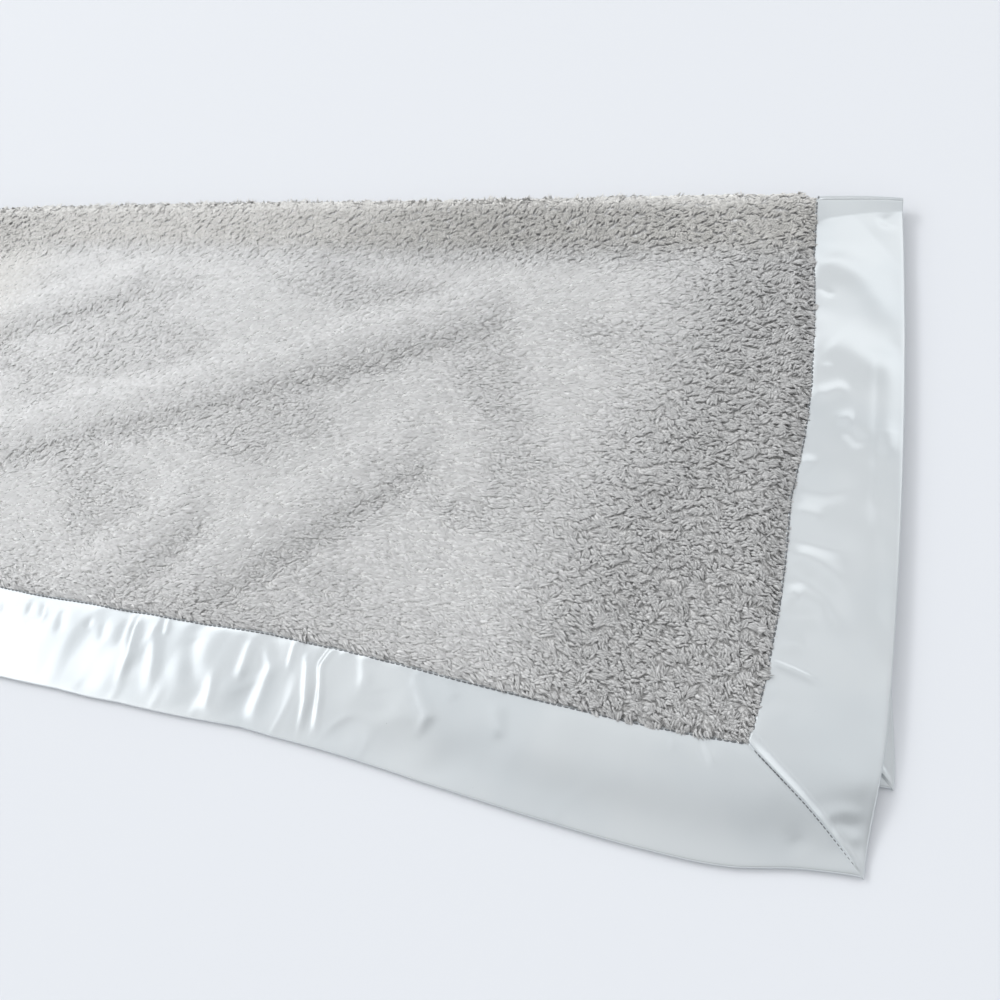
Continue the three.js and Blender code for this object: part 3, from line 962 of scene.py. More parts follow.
@dataclass(frozen=True)
class PileCharacter:
    """How open and curly the pile is over a face, and which way it lies."""

    shown: bool = False
    curl_line: Line = ((165.0, 75.0), (162.0, 142.0), (135.0, 224.0), (118.0, 336.0))
    curl_fade: float = 90.0
    patch: float = 0.34
    patch_lean: float = 0.6
    patch_level: float = 0.05
    patch_fade: float = 0.5
    hidden_curl: float = 0.35
    band: float = 0.95
    fold_band: float = 76.0
    band_fade: float = 34.0
    crown_calm: float = 0.55
    crown_reach: float = 14.0
    left_calm: float = 0.4
    left_from: float = 230.0
    left_fade: float = 200.0
    hem: float = 0.35
    hem_band: float = 45.0
    crest_calm: float = 0.85
    crest_reach: float = 1.3
    lee: float = 0.6
    lee_shift: Pair = (-6.0, 20.0)
    flow: tuple[Triple, ...] = (
        (363.0, 150.0, 23.0), (235.0, 83.0, -1.0), (158.0, 223.0, 1.0), (112.0, 126.0, -4.0), (123.0, 61.0, -14.0),
        (70.0, 53.0, -63.0), (59.0, 69.0, -56.0), (67.0, 112.0, -37.0), (59.0, 168.0, -16.0), (60.0, 280.0, 10.0),
        (261.0, 370.0, 50.0), (566.0, 360.0, 54.0), (465.0, 72.0, -1.0), (511.0, 192.0, 36.0), (800.0, 200.0, 20.0),
    )
    # Painted shade by the inset from the right end: darker towards the right end, a little lighter past the middle.
    painted_shade_line: Line = (
        (120.0, 0.05), (180.0, 0.1), (330.0, 0.14), (430.0, 0.06), (520.0, 0.0), (650.0, -0.035),
    )
    # Even painted shade on the hidden faces.
    hidden_painted_shade: float = 0.1
    warm: float = 0.8
    hidden_warm: float = 0.3
    warm_fold: float = 60.0
    warm_fold_fade: float = 25.0
    warm_left: float = 620.0
    warm_left_fade: float = 90.0
    hidden_heading: float = 0.5
    hidden_drift: float = 0.7
    flow_reach: float = 12.0
    patches: Waves = field(default_factory=lambda: Waves(11, 46.0, 0.6))
    drift: Waves = field(default_factory=lambda: Waves(12, 260.0))

    def curl(self, x: Array, y: Array) -> Array:
        """Give the share of curl, 0 for brushed flat and 1 for open curls.

        Args:
            x: Distance from the middle of the length.
            y: Distance back from the upper hem.

        Returns:
            The shares.
        """
        patch = self.patch * smooth((self.patches.at(x + self.patch_lean * y, y) - self.patch_level) / self.patch_fade)
        if not self.shown:
            return self.hidden_curl + 0.5 * patch
        end, from_fold = LAY.end_inset(x), y - LAY.fold
        border = read_line(tuple((back, inset) for inset, back in self.curl_line), y)
        edge = smooth((border - end + self.curl_fade / 2.0) / self.curl_fade)
        band = self.band * smooth((from_fold + self.fold_band) / self.band_fade)
        band = band * (1.0 - self.crown_calm * smooth((from_fold + self.crown_reach) / self.crown_reach))
        band = band * (1.0 - self.left_calm * smooth((end - self.left_from) / self.left_fade))
        hem = self.hem * smooth(1.0 - (y - LAY.seam) / self.hem_band)
        crest = ridges_at(x, y) / RIDGES[0].height
        lee = self.lee * smooth(ridges_at(x + self.lee_shift[0], y + self.lee_shift[1]) / RIDGES[0].height)
        calm = 1.0 - self.crest_calm * smooth(self.crest_reach * crest)
        return np.maximum.reduce([edge, band, hem, patch, lee]) * calm

    def warmth(self, x: Array, y: Array) -> Array:
        """Give the share of the warmer tint, by the fold and towards the left.

        Args:
            x: Distance from the middle of the length.
            y: Distance back from the upper hem.

        Returns:
            The shares.
        """
        if not self.shown:
            return np.full(np.shape(x), self.hidden_warm)
        by_fold = smooth((y - LAY.fold + self.warm_fold) / self.warm_fold_fade)
        by_left = smooth((LAY.half_length - x - self.warm_left) / self.warm_left_fade)
        return self.warm * np.maximum(by_fold, by_left)

    def painted_end_shade(self, x: Array) -> Array:
        """Give the painted shade that makes the pile darker towards the right end and a little lighter past the middle,
        and evenly darker on the hidden faces.
        """
        return read_line(self.painted_shade_line, LAY.half_length - x) if self.shown else np.full(np.shape(x), self.hidden_painted_shade)

    def direction(self, x: Array, y: Array) -> Array:
        """Give the angle at which the pile lies, in radians.

        Args:
            x: Distance from the middle of the length.
            y: Distance back from the upper hem.

        Returns:
            The angles from the x axis.
        """
        if not self.shown:
            return self.hidden_heading + self.hidden_drift * self.drift.at(x, y)
        inset = LAY.half_length - x
        total = np.zeros((*np.shape(x), 2))
        for place, back, degrees in self.flow:
            weight = 1.0 / (np.hypot(inset - place, y - back) + self.flow_reach) ** 3
            angle = math.radians(degrees)
            total += weight[..., None] * np.array([math.cos(angle), math.sin(angle)])
        return np.arctan2(total[..., 1], total[..., 0])


def ridges_at(x: Array, y: Array) -> Array:
    """Give the height of the highest soft ridge at each place."""
    return np.maximum.reduce([ridge.at(x, y) for ridge in RIDGES])


@dataclass(frozen=True)
class PlushPanel:
    """One plush panel on one leaf, or where it goes round the fold."""

    face: Face
    leaf: Leaf | None
    margin_half: float = 0.45
    backing: float = 0.4
    margin_inset: float = 2.9
    flat_depth: float = 1.5
    curl_depth: float = 2.7
    swell: float = 0.5
    swell_length: float = 70.0
    swell_lean: float = 0.7
    swell_fade: float = 40.0
    bridge: Pair = (56.0, 76.0)
    columns: int = 170
    rows: int = 66
    fold_rows: int = 14
    fold_margin_inset: float = 46.0
    inner_tail: float = 4.0
    seam_stations: tuple[float, ...] = (-3.0, -1.5, 0.0, 1.5, 3.0, 4.5, 6.0)

    @property
    def tail(self) -> float:
        """How far the cloth round the fold reaches onto each leaf."""
        return self.inner_tail if self.face is Face.INNER else 0.0

    @property
    def turn(self) -> float:
        """The length of the half turn, as the pile is spread over it."""
        return math.pi * (LAY.leaf_thickness + LAY.gap) / 2.0

    @property
    def name(self) -> str:
        """The piece's name."""
        return f"{self.face.value}_panel_{part_name(self.leaf)}"

    @property
    def node(self) -> str:
        """The CAD node that the piece stands for."""
        return f"plush_{self.face.value}_{part_name(self.leaf)}"

    @property
    def faces_up(self) -> bool:
        """Whether the pile faces up."""
        return faces_up(self.face, self.leaf)

    @property
    def character(self) -> PileCharacter:
        """How the pile lies."""
        return PileCharacter(shown=self.face is Face.OUTER and self.leaf is not Leaf.LOWER)

    def pile_depth(self, x: Array, y: Array) -> Array:
        """Give the depth of the pile over the backing."""
        return mix(self.flat_depth, self.curl_depth, self.character.curl(x, y))

    def crest(self, x: Array, y: Array) -> Array:
        """Give how near the top of a ridge each place is, from 0 to 1."""
        if not self.character.shown or self.leaf is None:
            return np.zeros(np.broadcast(x, y).shape)
        return ridges_at(x, y) / RIDGES[0].height

    def relief(self, x: Array, y: Array) -> Array:
        """Give the lie of the upper panel over its even height.

        Args:
            x: Distance from the middle of the length.
            y: Distance back from the upper hem.

        Returns:
            The heights that it adds.
        """
        if self.face is not Face.OUTER or self.leaf is not Leaf.UPPER:
            return np.zeros(np.broadcast(x, y).shape)
        soft = self.swell * Waves(21, self.swell_length, 0.7).at(x + self.swell_lean * y, y)
        climb = smooth((y - self.bridge[0]) / self.bridge[1]) - LAY.shoulder(y - LAY.hem_lead)
        soft = soft * smooth((LAY.fold - y) / self.swell_fade) + climb * (LAY.leaf_thickness - LAY.binding_thickness)
        return (ridges_at(x, y) + soft) * LAY.shoulder(LAY.inset(self.leaf, x, y))

    def height(self, leaf: Leaf | None, x: Array, y: Array) -> Array:
        """Give the height of the backing's pile side above the underside of a leaf.

        Args:
            leaf: The leaf, or None round the fold.
            x: Distance from the middle of the length.
            y: Distance back from the upper hem.

        Returns:
            The heights.
        """
        inset = LAY.end_inset(x) if leaf is None else LAY.inset(leaf, x, y)
        shoulder, depth = LAY.panel_shoulder(inset), self.pile_depth(x, y)
        middle = PROFILE.middle(leaf, inset, y)
        if faces_up(self.face, leaf):
            return mix(middle + self.margin_half, LAY.leaf_thickness - depth, shoulder) + self.relief(x, y)
        return mix(middle - self.margin_half, depth, shoulder)

    def surface(self, x: Array, v: Array) -> Array:
        """Give the pile side of the backing.

        Args:
            x: Distance from the middle of the length.
            v: Distance back from the upper hem or, round the fold, along the turn from the lower leaf.

        Returns:
            Points in millimetres in the frame.
        """
        x, v = np.broadcast_arrays(np.asarray(x, float), np.asarray(v, float))
        if self.leaf is not None:
            return LAY.place(self.leaf, x, v, self.height(self.leaf, x, v))
        back = np.full(x.shape, LAY.fold)
        turned = LAY.place_fold(x, np.clip(v / self.turn, 0.0, 1.0), self.height(None, x, back))
        below, above = back + np.minimum(v, 0.0), back + np.minimum(self.turn - v, 0.0)
        lower = LAY.place(Leaf.LOWER, x, below, self.height(Leaf.LOWER, x, below))
        upper = LAY.place(Leaf.UPPER, x, above, self.height(Leaf.UPPER, x, above))
        return np.where((v < 0.0)[..., None], lower, np.where((v > self.turn)[..., None], upper, turned))

    def stations(self) -> tuple[Array, Array]:
        """Give the stations along and across the leaf.

        Returns:
            Places along the length, and places back from the hem or round the turn.
        """
        reach = LAY.half_length - (self.margin_inset if self.leaf else self.fold_margin_inset)
        bend = LAY.half_length - LAY.seam - np.array([*self.seam_stations, LAY.shoulder_width])
        field_x = np.linspace(-bend[-1], bend[-1], self.columns)
        xs = np.unique(np.concatenate([field_x, bend, -bend, [reach, -reach]]))
        if self.leaf is None:
            ends = [-self.tail, self.turn + self.tail]
            return xs, np.unique(np.concatenate([ends, np.linspace(0.0, self.turn, self.fold_rows)]))
        hem = LAY.hem(self.leaf)
        seam = hem + LAY.seam + np.array(self.seam_stations)
        drape = np.array([hem + 20.0])
        if self.leaf is Leaf.UPPER:
            step = LAY.hem_lead + LAY.seam + np.linspace(0.0, LAY.shoulder_width, 6)
            drape = np.concatenate([np.linspace(LAY.drape_foot, LAY.drape_top, 5), step])
        back = np.linspace(hem + LAY.seam + LAY.shoulder_width, LAY.fold - self.tail, self.rows)
        return xs, np.unique(np.concatenate([[hem + self.margin_inset], drape, seam, back]))

    def build(self, finishes: Finishes) -> Piece:
        """Build the panel's backing and dress it.

        Args:
            finishes: The blanket's materials.

        Returns:
            The piece.
        """
        xs, ys = self.stations()
        x, y = np.meshgrid(xs, ys, indexing="ij")
        points = self.surface(x, y)
        panel = grid_piece(self.name, points if self.faces_up else points[::-1])
        thicken(panel, self.backing)
        dress(panel, finishes.backing)
        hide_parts(self.node)
        return panel

    def flat_size(self) -> Pair:
        """Give the size that this part of the panel was cut to, in metres.

        Returns:
            The length and the depth.
        """
        xs, ys = self.stations()
        deep = ys[-1] - ys[0]
        if self.leaf is None:
            depth = self.height(None, np.zeros(1), np.full(1, LAY.fold))[0]
            radius = LAY.rest_height(FAR_INSIDE) - LAY.gap / 2.0 - depth
            deep = math.pi * radius + 2.0 * self.tail
        return (xs[-1] - xs[0]) * MM, deep * MM


RING_SHARE = 0.5
RING_SPREAD = 2.3


def model_lock() -> tuple[Array, Array]:
    """Model one lock of pile: a three-sided spindle, thickest at its middle.

    Returns:
        Its points, with z from 0 at the root to 1 at the tip, and its triangles.
    """
    deselect()
    bpy.ops.mesh.primitive_cone_add(vertices=3, radius1=0.5, radius2=0.0, depth=1.0, location=(0.0, 0.0, 0.5))
    lock = bpy.context.object
    bpy.ops.object.transform_apply(location=True, rotation=True, scale=True)
    bpy.ops.object.mode_set(mode="EDIT")
    bpy.ops.mesh.select_all(action="SELECT")
    bpy.ops.mesh.bisect(plane_co=(0.0, 0.0, RING_SHARE), plane_no=(0.0, 0.0, 1.0))
    bpy.ops.object.mode_set(mode="OBJECT")
    for vertex in lock.data.vertices:
        share = {0.0: 0.0, RING_SHARE: RING_SPREAD}.get(round(vertex.co.z, 2), 1.0)
        vertex.co.x *= share
        vertex.co.y *= share
    bpy.ops.object.mode_set(mode="EDIT")
    bpy.ops.mesh.select_all(action="SELECT")
    bpy.ops.mesh.remove_doubles(threshold=0.001)
    bpy.ops.object.mode_set(mode="OBJECT")
    return unit_shape(lock)


@dataclass(frozen=True)
class LockStyle:
    """The shape of a lock of pile, in millimetres, and how much it strays."""

    length: float
    width: float
    rise: float
    droop: float
    swing: float
    gather: float
    dome: float
    hook: float


@dataclass(frozen=True)
class Pile:
    """The pile of one panel, grown as separate locks from its backing."""

    panel: PlushPanel
    seed: int
    spacing: float
    pieces: int = 1
    fine: float = 1.5
    brushed: LockStyle = LockStyle(
        length=7.0, width=1.5, rise=0.6, droop=0.3, swing=0.22, gather=0.22, dome=0.09, hook=0.06
    )
    curled: LockStyle = LockStyle(
        length=5.2, width=1.8, rise=2.3, droop=1.1, swing=0.6, gather=0.42, dome=0.4, hook=0.22
    )
    overhang: float = 5.0
    end_push: float = 1.6
    hem_push: float = 0.4
    rim_level: float = 0.75
    # Painted shade down the sides of each lock, for brushed and for curled pile.
    flank_shade: Pair = (0.0, 0.25)
    lit_root: float = 0.3
    rim_shortening: Pair = (0.12, 0.5)
    crisp_from_fold: float = 75.0
    fold_roundness: float = 0.3
    fold_level: float = 1.3
    clump: float = 4.0
    roundness: float = 0.12
    edge_rows: tuple[float, ...] = (0.6, 1.9)
    edge_spacing: float = 1.7
    edge_jitter: float = 0.5
    open_shade: float = 0.32
    # Painted highlight along the crown of the fold.
    crown_highlight: float = 0.2
    # Painted highlight on the crests of the ridges.
    crest_highlight: float = 0.03
    pressed: float = 0.05
    squeeze: float = 0.35
    squeeze_room: Pair = (4.5, 12.0)
    heading_stray: float = 0.16
    length_stray: Pair = (0.16, 0.12)
    width_stray: float = 0.15
    rise_stray: Pair = (0.12, 0.08)
    tone_stray: Pair = (0.02, 0.025)
    tone_limits: Pair = (0.5, 1.04)
    crispness: float = 0.85
    crisp_fade: float = 25.0
    fold_push: float = 0.7
    rim_share: float = 0.6
    crown_reach: float = 10.0
    crown_flatness: float = 0.4
    bend_share: float = 0.42
    bend_rise: float = 1.15
    root_depth: float = 0.2
    flatness: float = 0.55
    dome_middle: float = 0.45
    TABLE: int = 64

    def roots(self, rng: np.random.Generator) -> tuple[Array, Array]:
        """Scatter the roots over a jittered grid.

        Args:
            rng: The source of the jitter.

        Returns:
            The roots' places along the length, and back or round the turn.
        """
        inner = LAY.half_length - LAY.seam
        nx = int(2 * inner / self.spacing)
        if self.panel.leaf is None:
            low, high = 0.0, self.panel.turn
        else:
            low, high = LAY.hem(self.panel.leaf) + LAY.seam, LAY.fold
        ny = max(2, int((high - low) / self.spacing))
        i, j = np.meshgrid(np.arange(nx), np.arange(ny), indexing="ij")
        x = -inner + (i + rng.uniform(0.0, 1.0, i.shape)) * (2 * inner / nx)
        v = low + (j + rng.uniform(0.0, 1.0, j.shape)) * ((high - low) / ny)
        if self.panel.leaf is None:
            return x.ravel(), v.ravel()
        xs, vs = [x.ravel()], [v.ravel()]
        spacing = self.edge_spacing * self.spacing / self.fine
        for row in self.edge_rows:
            for back in (low + row, high - row):
                run = np.arange(-inner + row, inner - row, spacing)
                xs.append(run + rng.uniform(-self.edge_jitter, self.edge_jitter, run.shape))
                vs.append(np.full(run.shape, back))
            rise = np.arange(low + row, high, spacing)
            for side in (-1.0, 1.0):
                xs.append(np.full(rise.shape, side * (inner - row)))
                vs.append(rise + rng.uniform(-self.edge_jitter, self.edge_jitter, rise.shape))
        return np.concatenate(xs), np.concatenate(vs)

    def tufts(self, x: Array, v: Array) -> tuple[Array, Array, Array]:
        """Give, for each place, the centre of its tuft and the tuft's number.

        Args:
            x: Distance from the middle of the length.
            v: Distance back from the upper hem or, round the fold, along the turn.

        Returns:
            The centres' two places, and the numbers.
        """
        i, j = np.floor(x / self.clump).astype(int), np.floor(v / self.clump).astype(int)
        shift = np.random.default_rng(self.seed + 7).uniform(0.1, 0.9, (2, self.TABLE, self.TABLE))
        best = np.full(x.shape, np.inf)
        cx, cv, number = x.copy(), v.copy(), np.zeros(x.shape, int)
        for di in (-1, 0, 1):
            for dj in (-1, 0, 1):
                a, b = (i + di) % self.TABLE, (j + dj) % self.TABLE
                px = (i + di + shift[0][a, b]) * self.clump
                pv = (j + dj + shift[1][a, b]) * self.clump
                away = np.hypot(x - px, v - pv)
                nearer = away < best
                best = np.where(nearer, away, best)
                cx, cv = np.where(nearer, px, cx), np.where(nearer, pv, cv)
                number = np.where(nearer, a * self.TABLE + b, number)
        return cx, cv, number

    def frame_at(self, x: Array, v: Array) -> tuple[Array, Array, Array]:
        """Give the backing's two tangents and its outward normal at each place.

        Args:
            x: Distance from the middle of the length.
            v: Distance back from the upper hem or, round the fold, along the turn.

        Returns:
            The tangent along the length, the tangent back and the normal.
        """
        step = 0.5
        along = unit(self.panel.surface(x + step, v) - self.panel.surface(x - step, v))
        back = unit(self.panel.surface(x, v + step) - self.panel.surface(x, v - step))
        normal = unit(np.cross(along, back)) * (1.0 if self.panel.faces_up else -1.0)
        return along, back, normal

    def grow(self) -> dict[str, Array]:
        """Work out the spine and the size of every lock.

        Returns:
            The places, directions, width and shading of every lock, and its flat x.
        """
        rng = np.random.default_rng(self.seed)
        x, v = self.roots(rng)
        count = len(x)
        y = np.full(count, LAY.fold) if self.panel.leaf is None else v
        character = self.panel.character
        curl = character.curl(x, y)
        coarse = self.spacing / self.fine
        style = {
            key.name: mix(getattr(self.brushed, key.name), getattr(self.curled, key.name), curl)
            for key in fields(LockStyle)
        }
        cx, cv, tuft = self.tufts(x, v)
        shared = np.random.default_rng(self.seed + 8).normal(0.0, 1.0, (4, self.TABLE**2))[:, tuft]
        own = rng.normal(0.0, 1.0, (4, count))
        along, back, normal = self.frame_at(x, v)
        angle = character.direction(x, y) + style["swing"] * shared[0] + self.heading_stray * own[0]
        heading = np.stack([np.cos(angle), np.sin(angle)], -1)
        inset_end = LAY.end_inset(x) - LAY.seam
        inset_hem = y - LAY.hem(self.panel.leaf) - LAY.seam if self.panel.leaf else np.full(count, FAR_INSIDE)
        crisp = 1.0 - self.crispness * smooth((y - LAY.fold + self.crisp_from_fold) / self.crisp_fade)
        toward_end = self.end_push * smooth(1.0 - inset_end / self.overhang) * np.sign(x) * crisp
        toward_hem = self.hem_push * smooth(1.0 - inset_hem / self.overhang)
        if self.panel.leaf and self.panel.face is Face.INNER:
            toward_hem = toward_hem - self.fold_push * smooth(1.0 - (LAY.fold - y) / self.overhang)
        toward = np.stack([toward_end, -toward_hem], -1)
        rim = np.clip(np.linalg.norm(toward, axis=1), 0.0, 1.0)
        heading = unit(heading * (1.0 - self.rim_share * rim[:, None]) + toward)
        tangent = unit(heading[:, :1] * along + heading[:, 1:] * back)
        side = np.cross(normal, tangent)
        shared_length, own_length = self.length_stray
        length = style["length"] * np.exp(shared_length * shared[1] + own_length * own[1]) * mix(1.0, coarse, 0.5)
        length = length * (1.0 - self.rim_shortening[self.panel.face is Face.INNER] * rim)
        width = style["width"] * np.exp(self.width_stray * own[2]) * coarse
        crown = smooth((y - LAY.fold + self.crown_reach) / self.crown_reach)
        shared_rise, own_rise = self.rise_stray
        rise = style["rise"] * np.exp(shared_rise * shared[2] + own_rise * own[3]) * (1.0 - self.crown_flatness * crown)
        drawn = (cx - x)[:, None] * along + (cv - v)[:, None] * back
        pull = (style["gather"] * (1.0 - self.rim_share * rim))[:, None]
        hook = (style["hook"] * length * shared[3] * (1.0 - crown))[:, None] * side
        root = self.panel.surface(x, v) - normal * self.root_depth
        tip = root + tangent * length[:, None] + normal * (rise - style["droop"])[:, None] + drawn * pull
        bend = root + tangent * (self.bend_share * length)[:, None] + normal * (self.bend_rise * rise)[:, None]
        bend = bend + drawn * pull * 0.5 + hook
        # Painted light in the tone: open curly pile darker as painted shade, ridge crests and the fold's crown lighter
        # as painted highlights, and the painted shade along the length; the strays are the pile's own tone.
        tone = 1.0 - self.open_shade * curl + self.crest_highlight * self.panel.crest(x, y) - character.painted_end_shade(x)
        tone = tone + self.crown_highlight * crown * float(self.panel.face is Face.OUTER)
        tone = np.clip(tone + self.tone_stray[0] * shared[0] + self.tone_stray[1] * own[2], *self.tone_limits)
        level = np.array([0.0, 0.0, 1.0 if self.panel.faces_up else -1.0])
        turned = mix(normal, level, self.rim_level * rim[:, None]) if self.panel.leaf else normal
        lit = unit(turned if self.panel.leaf else normal + self.fold_level * np.array([0.0, 0.0, 1.0]))
        return {
            "root": root,
            "bend": bend,
            "tip": tip,
            "side": side,
            "tangent": tangent,
            "normal": normal,
            "lit": lit,
            "drawn": drawn * (1.0 - pull),
            "dome": style["dome"],
            "width": width,
            "tone": tone,
            "warmth": character.warmth(x, y),
            "flank_shade": mix(*self.flank_shade, curl),
            "sunk": self.lit_root * (1.0 - curl),
            "x": x,
        }

    def build(self, finishes: Finishes) -> list[Piece]:
        """Build the pile's pieces and dress them.

        Args:
            finishes: The blanket's materials.

        Returns:
            The pieces, from left to right.
        """
        shape, triangles = model_lock()
        locks = {label: value[:, None] for label, value in self.grow().items()}
        wide, thick, share = (shape[:, n][None, :, None] for n in range(3))
        root, bend, tip = locks["root"], locks["bend"], locks["tip"]
        width = locks["width"][..., None]
        spine = (1.0 - share) ** 2 * root + 2.0 * share * (1.0 - share) * bend + share**2 * tip
        across = width * wide * locks["side"]
        upward = self.flatness * width * thick * locks["normal"]
        points = spine + across + upward
        if self.panel.leaf is None and self.panel.face is Face.INNER:
            points = root + self.squeeze * (points - root)
            points[..., 2] = np.clip(points[..., 2], *self.squeeze_room)
        outward = unit(across + upward + (share > 0.9) * (tip - bend))
        dome = (across - locks["drawn"]) / (0.5 * self.clump) + locks["tangent"] * (share - self.dome_middle)
        roundness = self.roundness if self.panel.leaf else self.fold_roundness
        facing = unit(outward * roundness + locks["dome"][..., None] * dome + locks["lit"])
        points[..., 2] = np.maximum(points[..., 2], self.pressed)
        values = {
            # Painted shade towards the roots, lifted where the pile is brushed flat.
            "depth": share[..., 0] + locks["sunk"],
            "tone": np.broadcast_to(locks["tone"], points.shape[:2]),
            "warmth": np.broadcast_to(locks["warmth"], points.shape[:2]),
            "flank_shade": locks["flank_shade"] * np.abs(wide[..., 0]) / np.abs(wide).max(),
        }
        x = locks["x"][:, 0]
        edges = np.quantile(x, np.linspace(0.0, 1.0, self.pieces + 1))
        made = []
        for n in range(self.pieces):
            last = n == self.pieces - 1
            within = (x >= edges[n]) & ((x < edges[n + 1]) | last)
            name = self.panel.name.replace("panel", "pile") + (f"_{n + 1}" if self.pieces > 1 else "")
            held = {label: value[within] for label, value in values.items()}
            piece = copies_piece(name, points[within], triangles, held, facing[within])
            flat_map(piece)
            dress(piece, finishes.pile)
            made.append(piece)
        return made


# Satin binding


@dataclass(frozen=True)
class Relief:
    """The puckers of the satin, by the inset from the end and the distance from the hem."""

    creases: tuple[Crease, ...] = ()
    gather: float = 0.35
    gather_length: float = 11.0
    gather_fade: float = 11.0
    swell: float = 0.5
    swell_length: float = 22.0
    swell_stretch: float = 2.2
    pleat: float = 0.0
    pleat_length: float = 26.0
    pleat_sharpness: float = 0.16
    pleat_stretch: float = 1.6
    gather_shift: float = 300.0
    gather_squash: float = 0.35
    swell_fade: float = 9.0
    calm_fades: Pair = (60.0, 40.0)
    rim_fade: float = 3.0
    seam_fade: float = 2.2
    least_room: float = 0.6
    under_share: float = 0.25
    lean: float = 0.0
    calm: Pair = (-2.0, -1.0)
    seed: int = 31


HEM_CREASES = creases(
    (-0.34, 2.8, 493.8, 41.0, 490.5, 34.0),
    (-0.34, 2.5, 474.2, 44.0, 471.4, 37.0),
    (-0.34, 2.5, 464.7, 45.0, 459.1, 35.0),
    (-0.41, 3.4, 448.3, 44.0, 442.9, 29.3),
    (-0.34, 2.3, 425.7, 40.0, 426.5, 36.0),
    (-0.34, 3, 415.0, 40.0, 411.6, 29.8),
    (-0.2, 5.8, 472.1, 14.4, 452.6, 5.4),
    (-0.41, 3.9, 399.5, 43.8, 398.5, 27.9),
    (0.61, 2.9, 393.5, 47.0, 390.0, 27.0, 391.0, 8.0),
    (0.61, 4.4, 381.0, 48.0, 373.0, 26.0, 369.0, 7.0),
    (-0.34, 1.6, 376.8, 49.8, 373.3, 39.0),
    (0.41, 1.6, 374.0, 50.0, 370.5, 40.0),
    (-0.75, 6.4, 351.0, 43.0, 348.0, 28.0, 342.0, 16.0),
    (0.54, 3.4, 331.5, 22.0, 329.5, 5.0),
    (0.61, 3.4, 314.5, 45.0, 314.5, 33.0, 315.0, 22.0),
    (0.61, 3.9, 298.5, 28.0, 300.0, 16.0, 302.0, 5.0),
    (0.48, 3.2, 304.0, 42.0, 298.0, 33.0, 297.0, 24.0),
    (0.48, 1.5, 287.2, 36.0, 289.0, 53.0),
    (0.61, 1.7, 279.0, 42.0, 276.5, 37.0, 272.0, 21.0, 270.5, 2.0),
    (-0.54, 1.6, 267.9, 53.0, 272.0, 41.0, 268.5, 30.0, 266.5, 4.0),
    (0.54, 1.8, 264.5, 52.0, 269.0, 39.0, 264.8, 25.0, 261.5, 4.0),
    (0.34, 2.5, 259.0, 52.0, 257.5, 45.0),
    (0.54, 3.4, 248.0, 52.0, 242.5, 40.0, 241.0, 31.0),
    (-0.41, 6.9, 232.0, 36.0, 226.0, 22.0),
    (0.61, 3.2, 215.5, 46.0, 210.5, 38.0, 203.5, 30.0, 206.0, 19.0),
    (0.48, 3.7, 199.0, 48.0, 192.0, 39.5),
    (0.54, 3.9, 171.5, 43.0, 164.5, 28.0),
    (0.24, 1.8, 84.7, 47.1, 83.0, 41.0),
    (0.37, 1.8, 69.3, 47.5, 62.7, 38.6),
    (-0.24, 1.8, 72.3, 45.5, 66.7, 37.6),
    (-0.24, 3.9, 28.0, 12.0, 24.0, 6.0),
)

END_CREASES = creases(
    (-0.72, 4.8, 0.0, 383.0, 7.0, 380.5, 14.0, 376.5),
    (0.86, 9.8, 50.7, 342.0, 37.0, 338.5, 26.5, 330.0, 18.5, 321.0, 10.5, 308.5, 5.0, 297.0),
    (-0.43, 2.3, 46.4, 320.4, 39.7, 313.3),
    (0.94, 12, 43.0, 277.5, 30.0, 274.0, 20.0, 268.0, 8.0, 256.0),
    (0.36, 2.8, 44.0, 260.0, 39.5, 259.0),
    (0.72, 4.6, 46.0, 240.0, 36.0, 244.5, 30.0, 247.5),
    (0.58, 4.6, 33.0, 226.0, 26.0, 225.0),
    (-0.65, 4.6, 29.4, 219.2, 19.2, 208.8),
    (-0.25, 2.8, 14.6, 267.9, 13.8, 227.1, 13.0, 208.0, 11.4, 166.7, 10.2, 130.6),
    (0.29, 4, 8.0, 222.0, 7.5, 205.0),
    (0.65, 4.6, 48.6, 197.1, 42.0, 194.0),
    (-0.65, 5.8, 47.4, 181.1, 34.0, 179.0, 20.0, 186.0),
    (0.65, 5.2, 46.8, 167.0, 34.1, 163.9),
    (-0.58, 4.6, 46.4, 151.3, 32.0, 149.0, 18.2, 147.4),
    (0.72, 5.2, 46.2, 144.1, 33.0, 138.0, 21.6, 129.1),
    (-0.72, 4.6, 44.1, 132.8, 28.8, 122.3, 19.3, 105.4),
    (0.79, 4.4, 46.9, 121.9, 42.0, 120.0),
    (-0.65, 4.6, 48.1, 108.5, 30.7, 112.0),
    (0.72, 1.7, 50.0, 88.0, 37.4, 84.0, 27.0, 79.8),
    (0.43, 6.9, 47.0, 72.0, 36.0, 64.0),
    (0.5, 4, 44.0, 96.0, 36.0, 98.0),
    (0.5, 3.6, 19.0, 21.0, 12.0, 24.0, 2.0, 25.0),
    (0.5, 3.4, 13.5, 17.0, 8.0, 15.0, 2.0, 13.5),
)


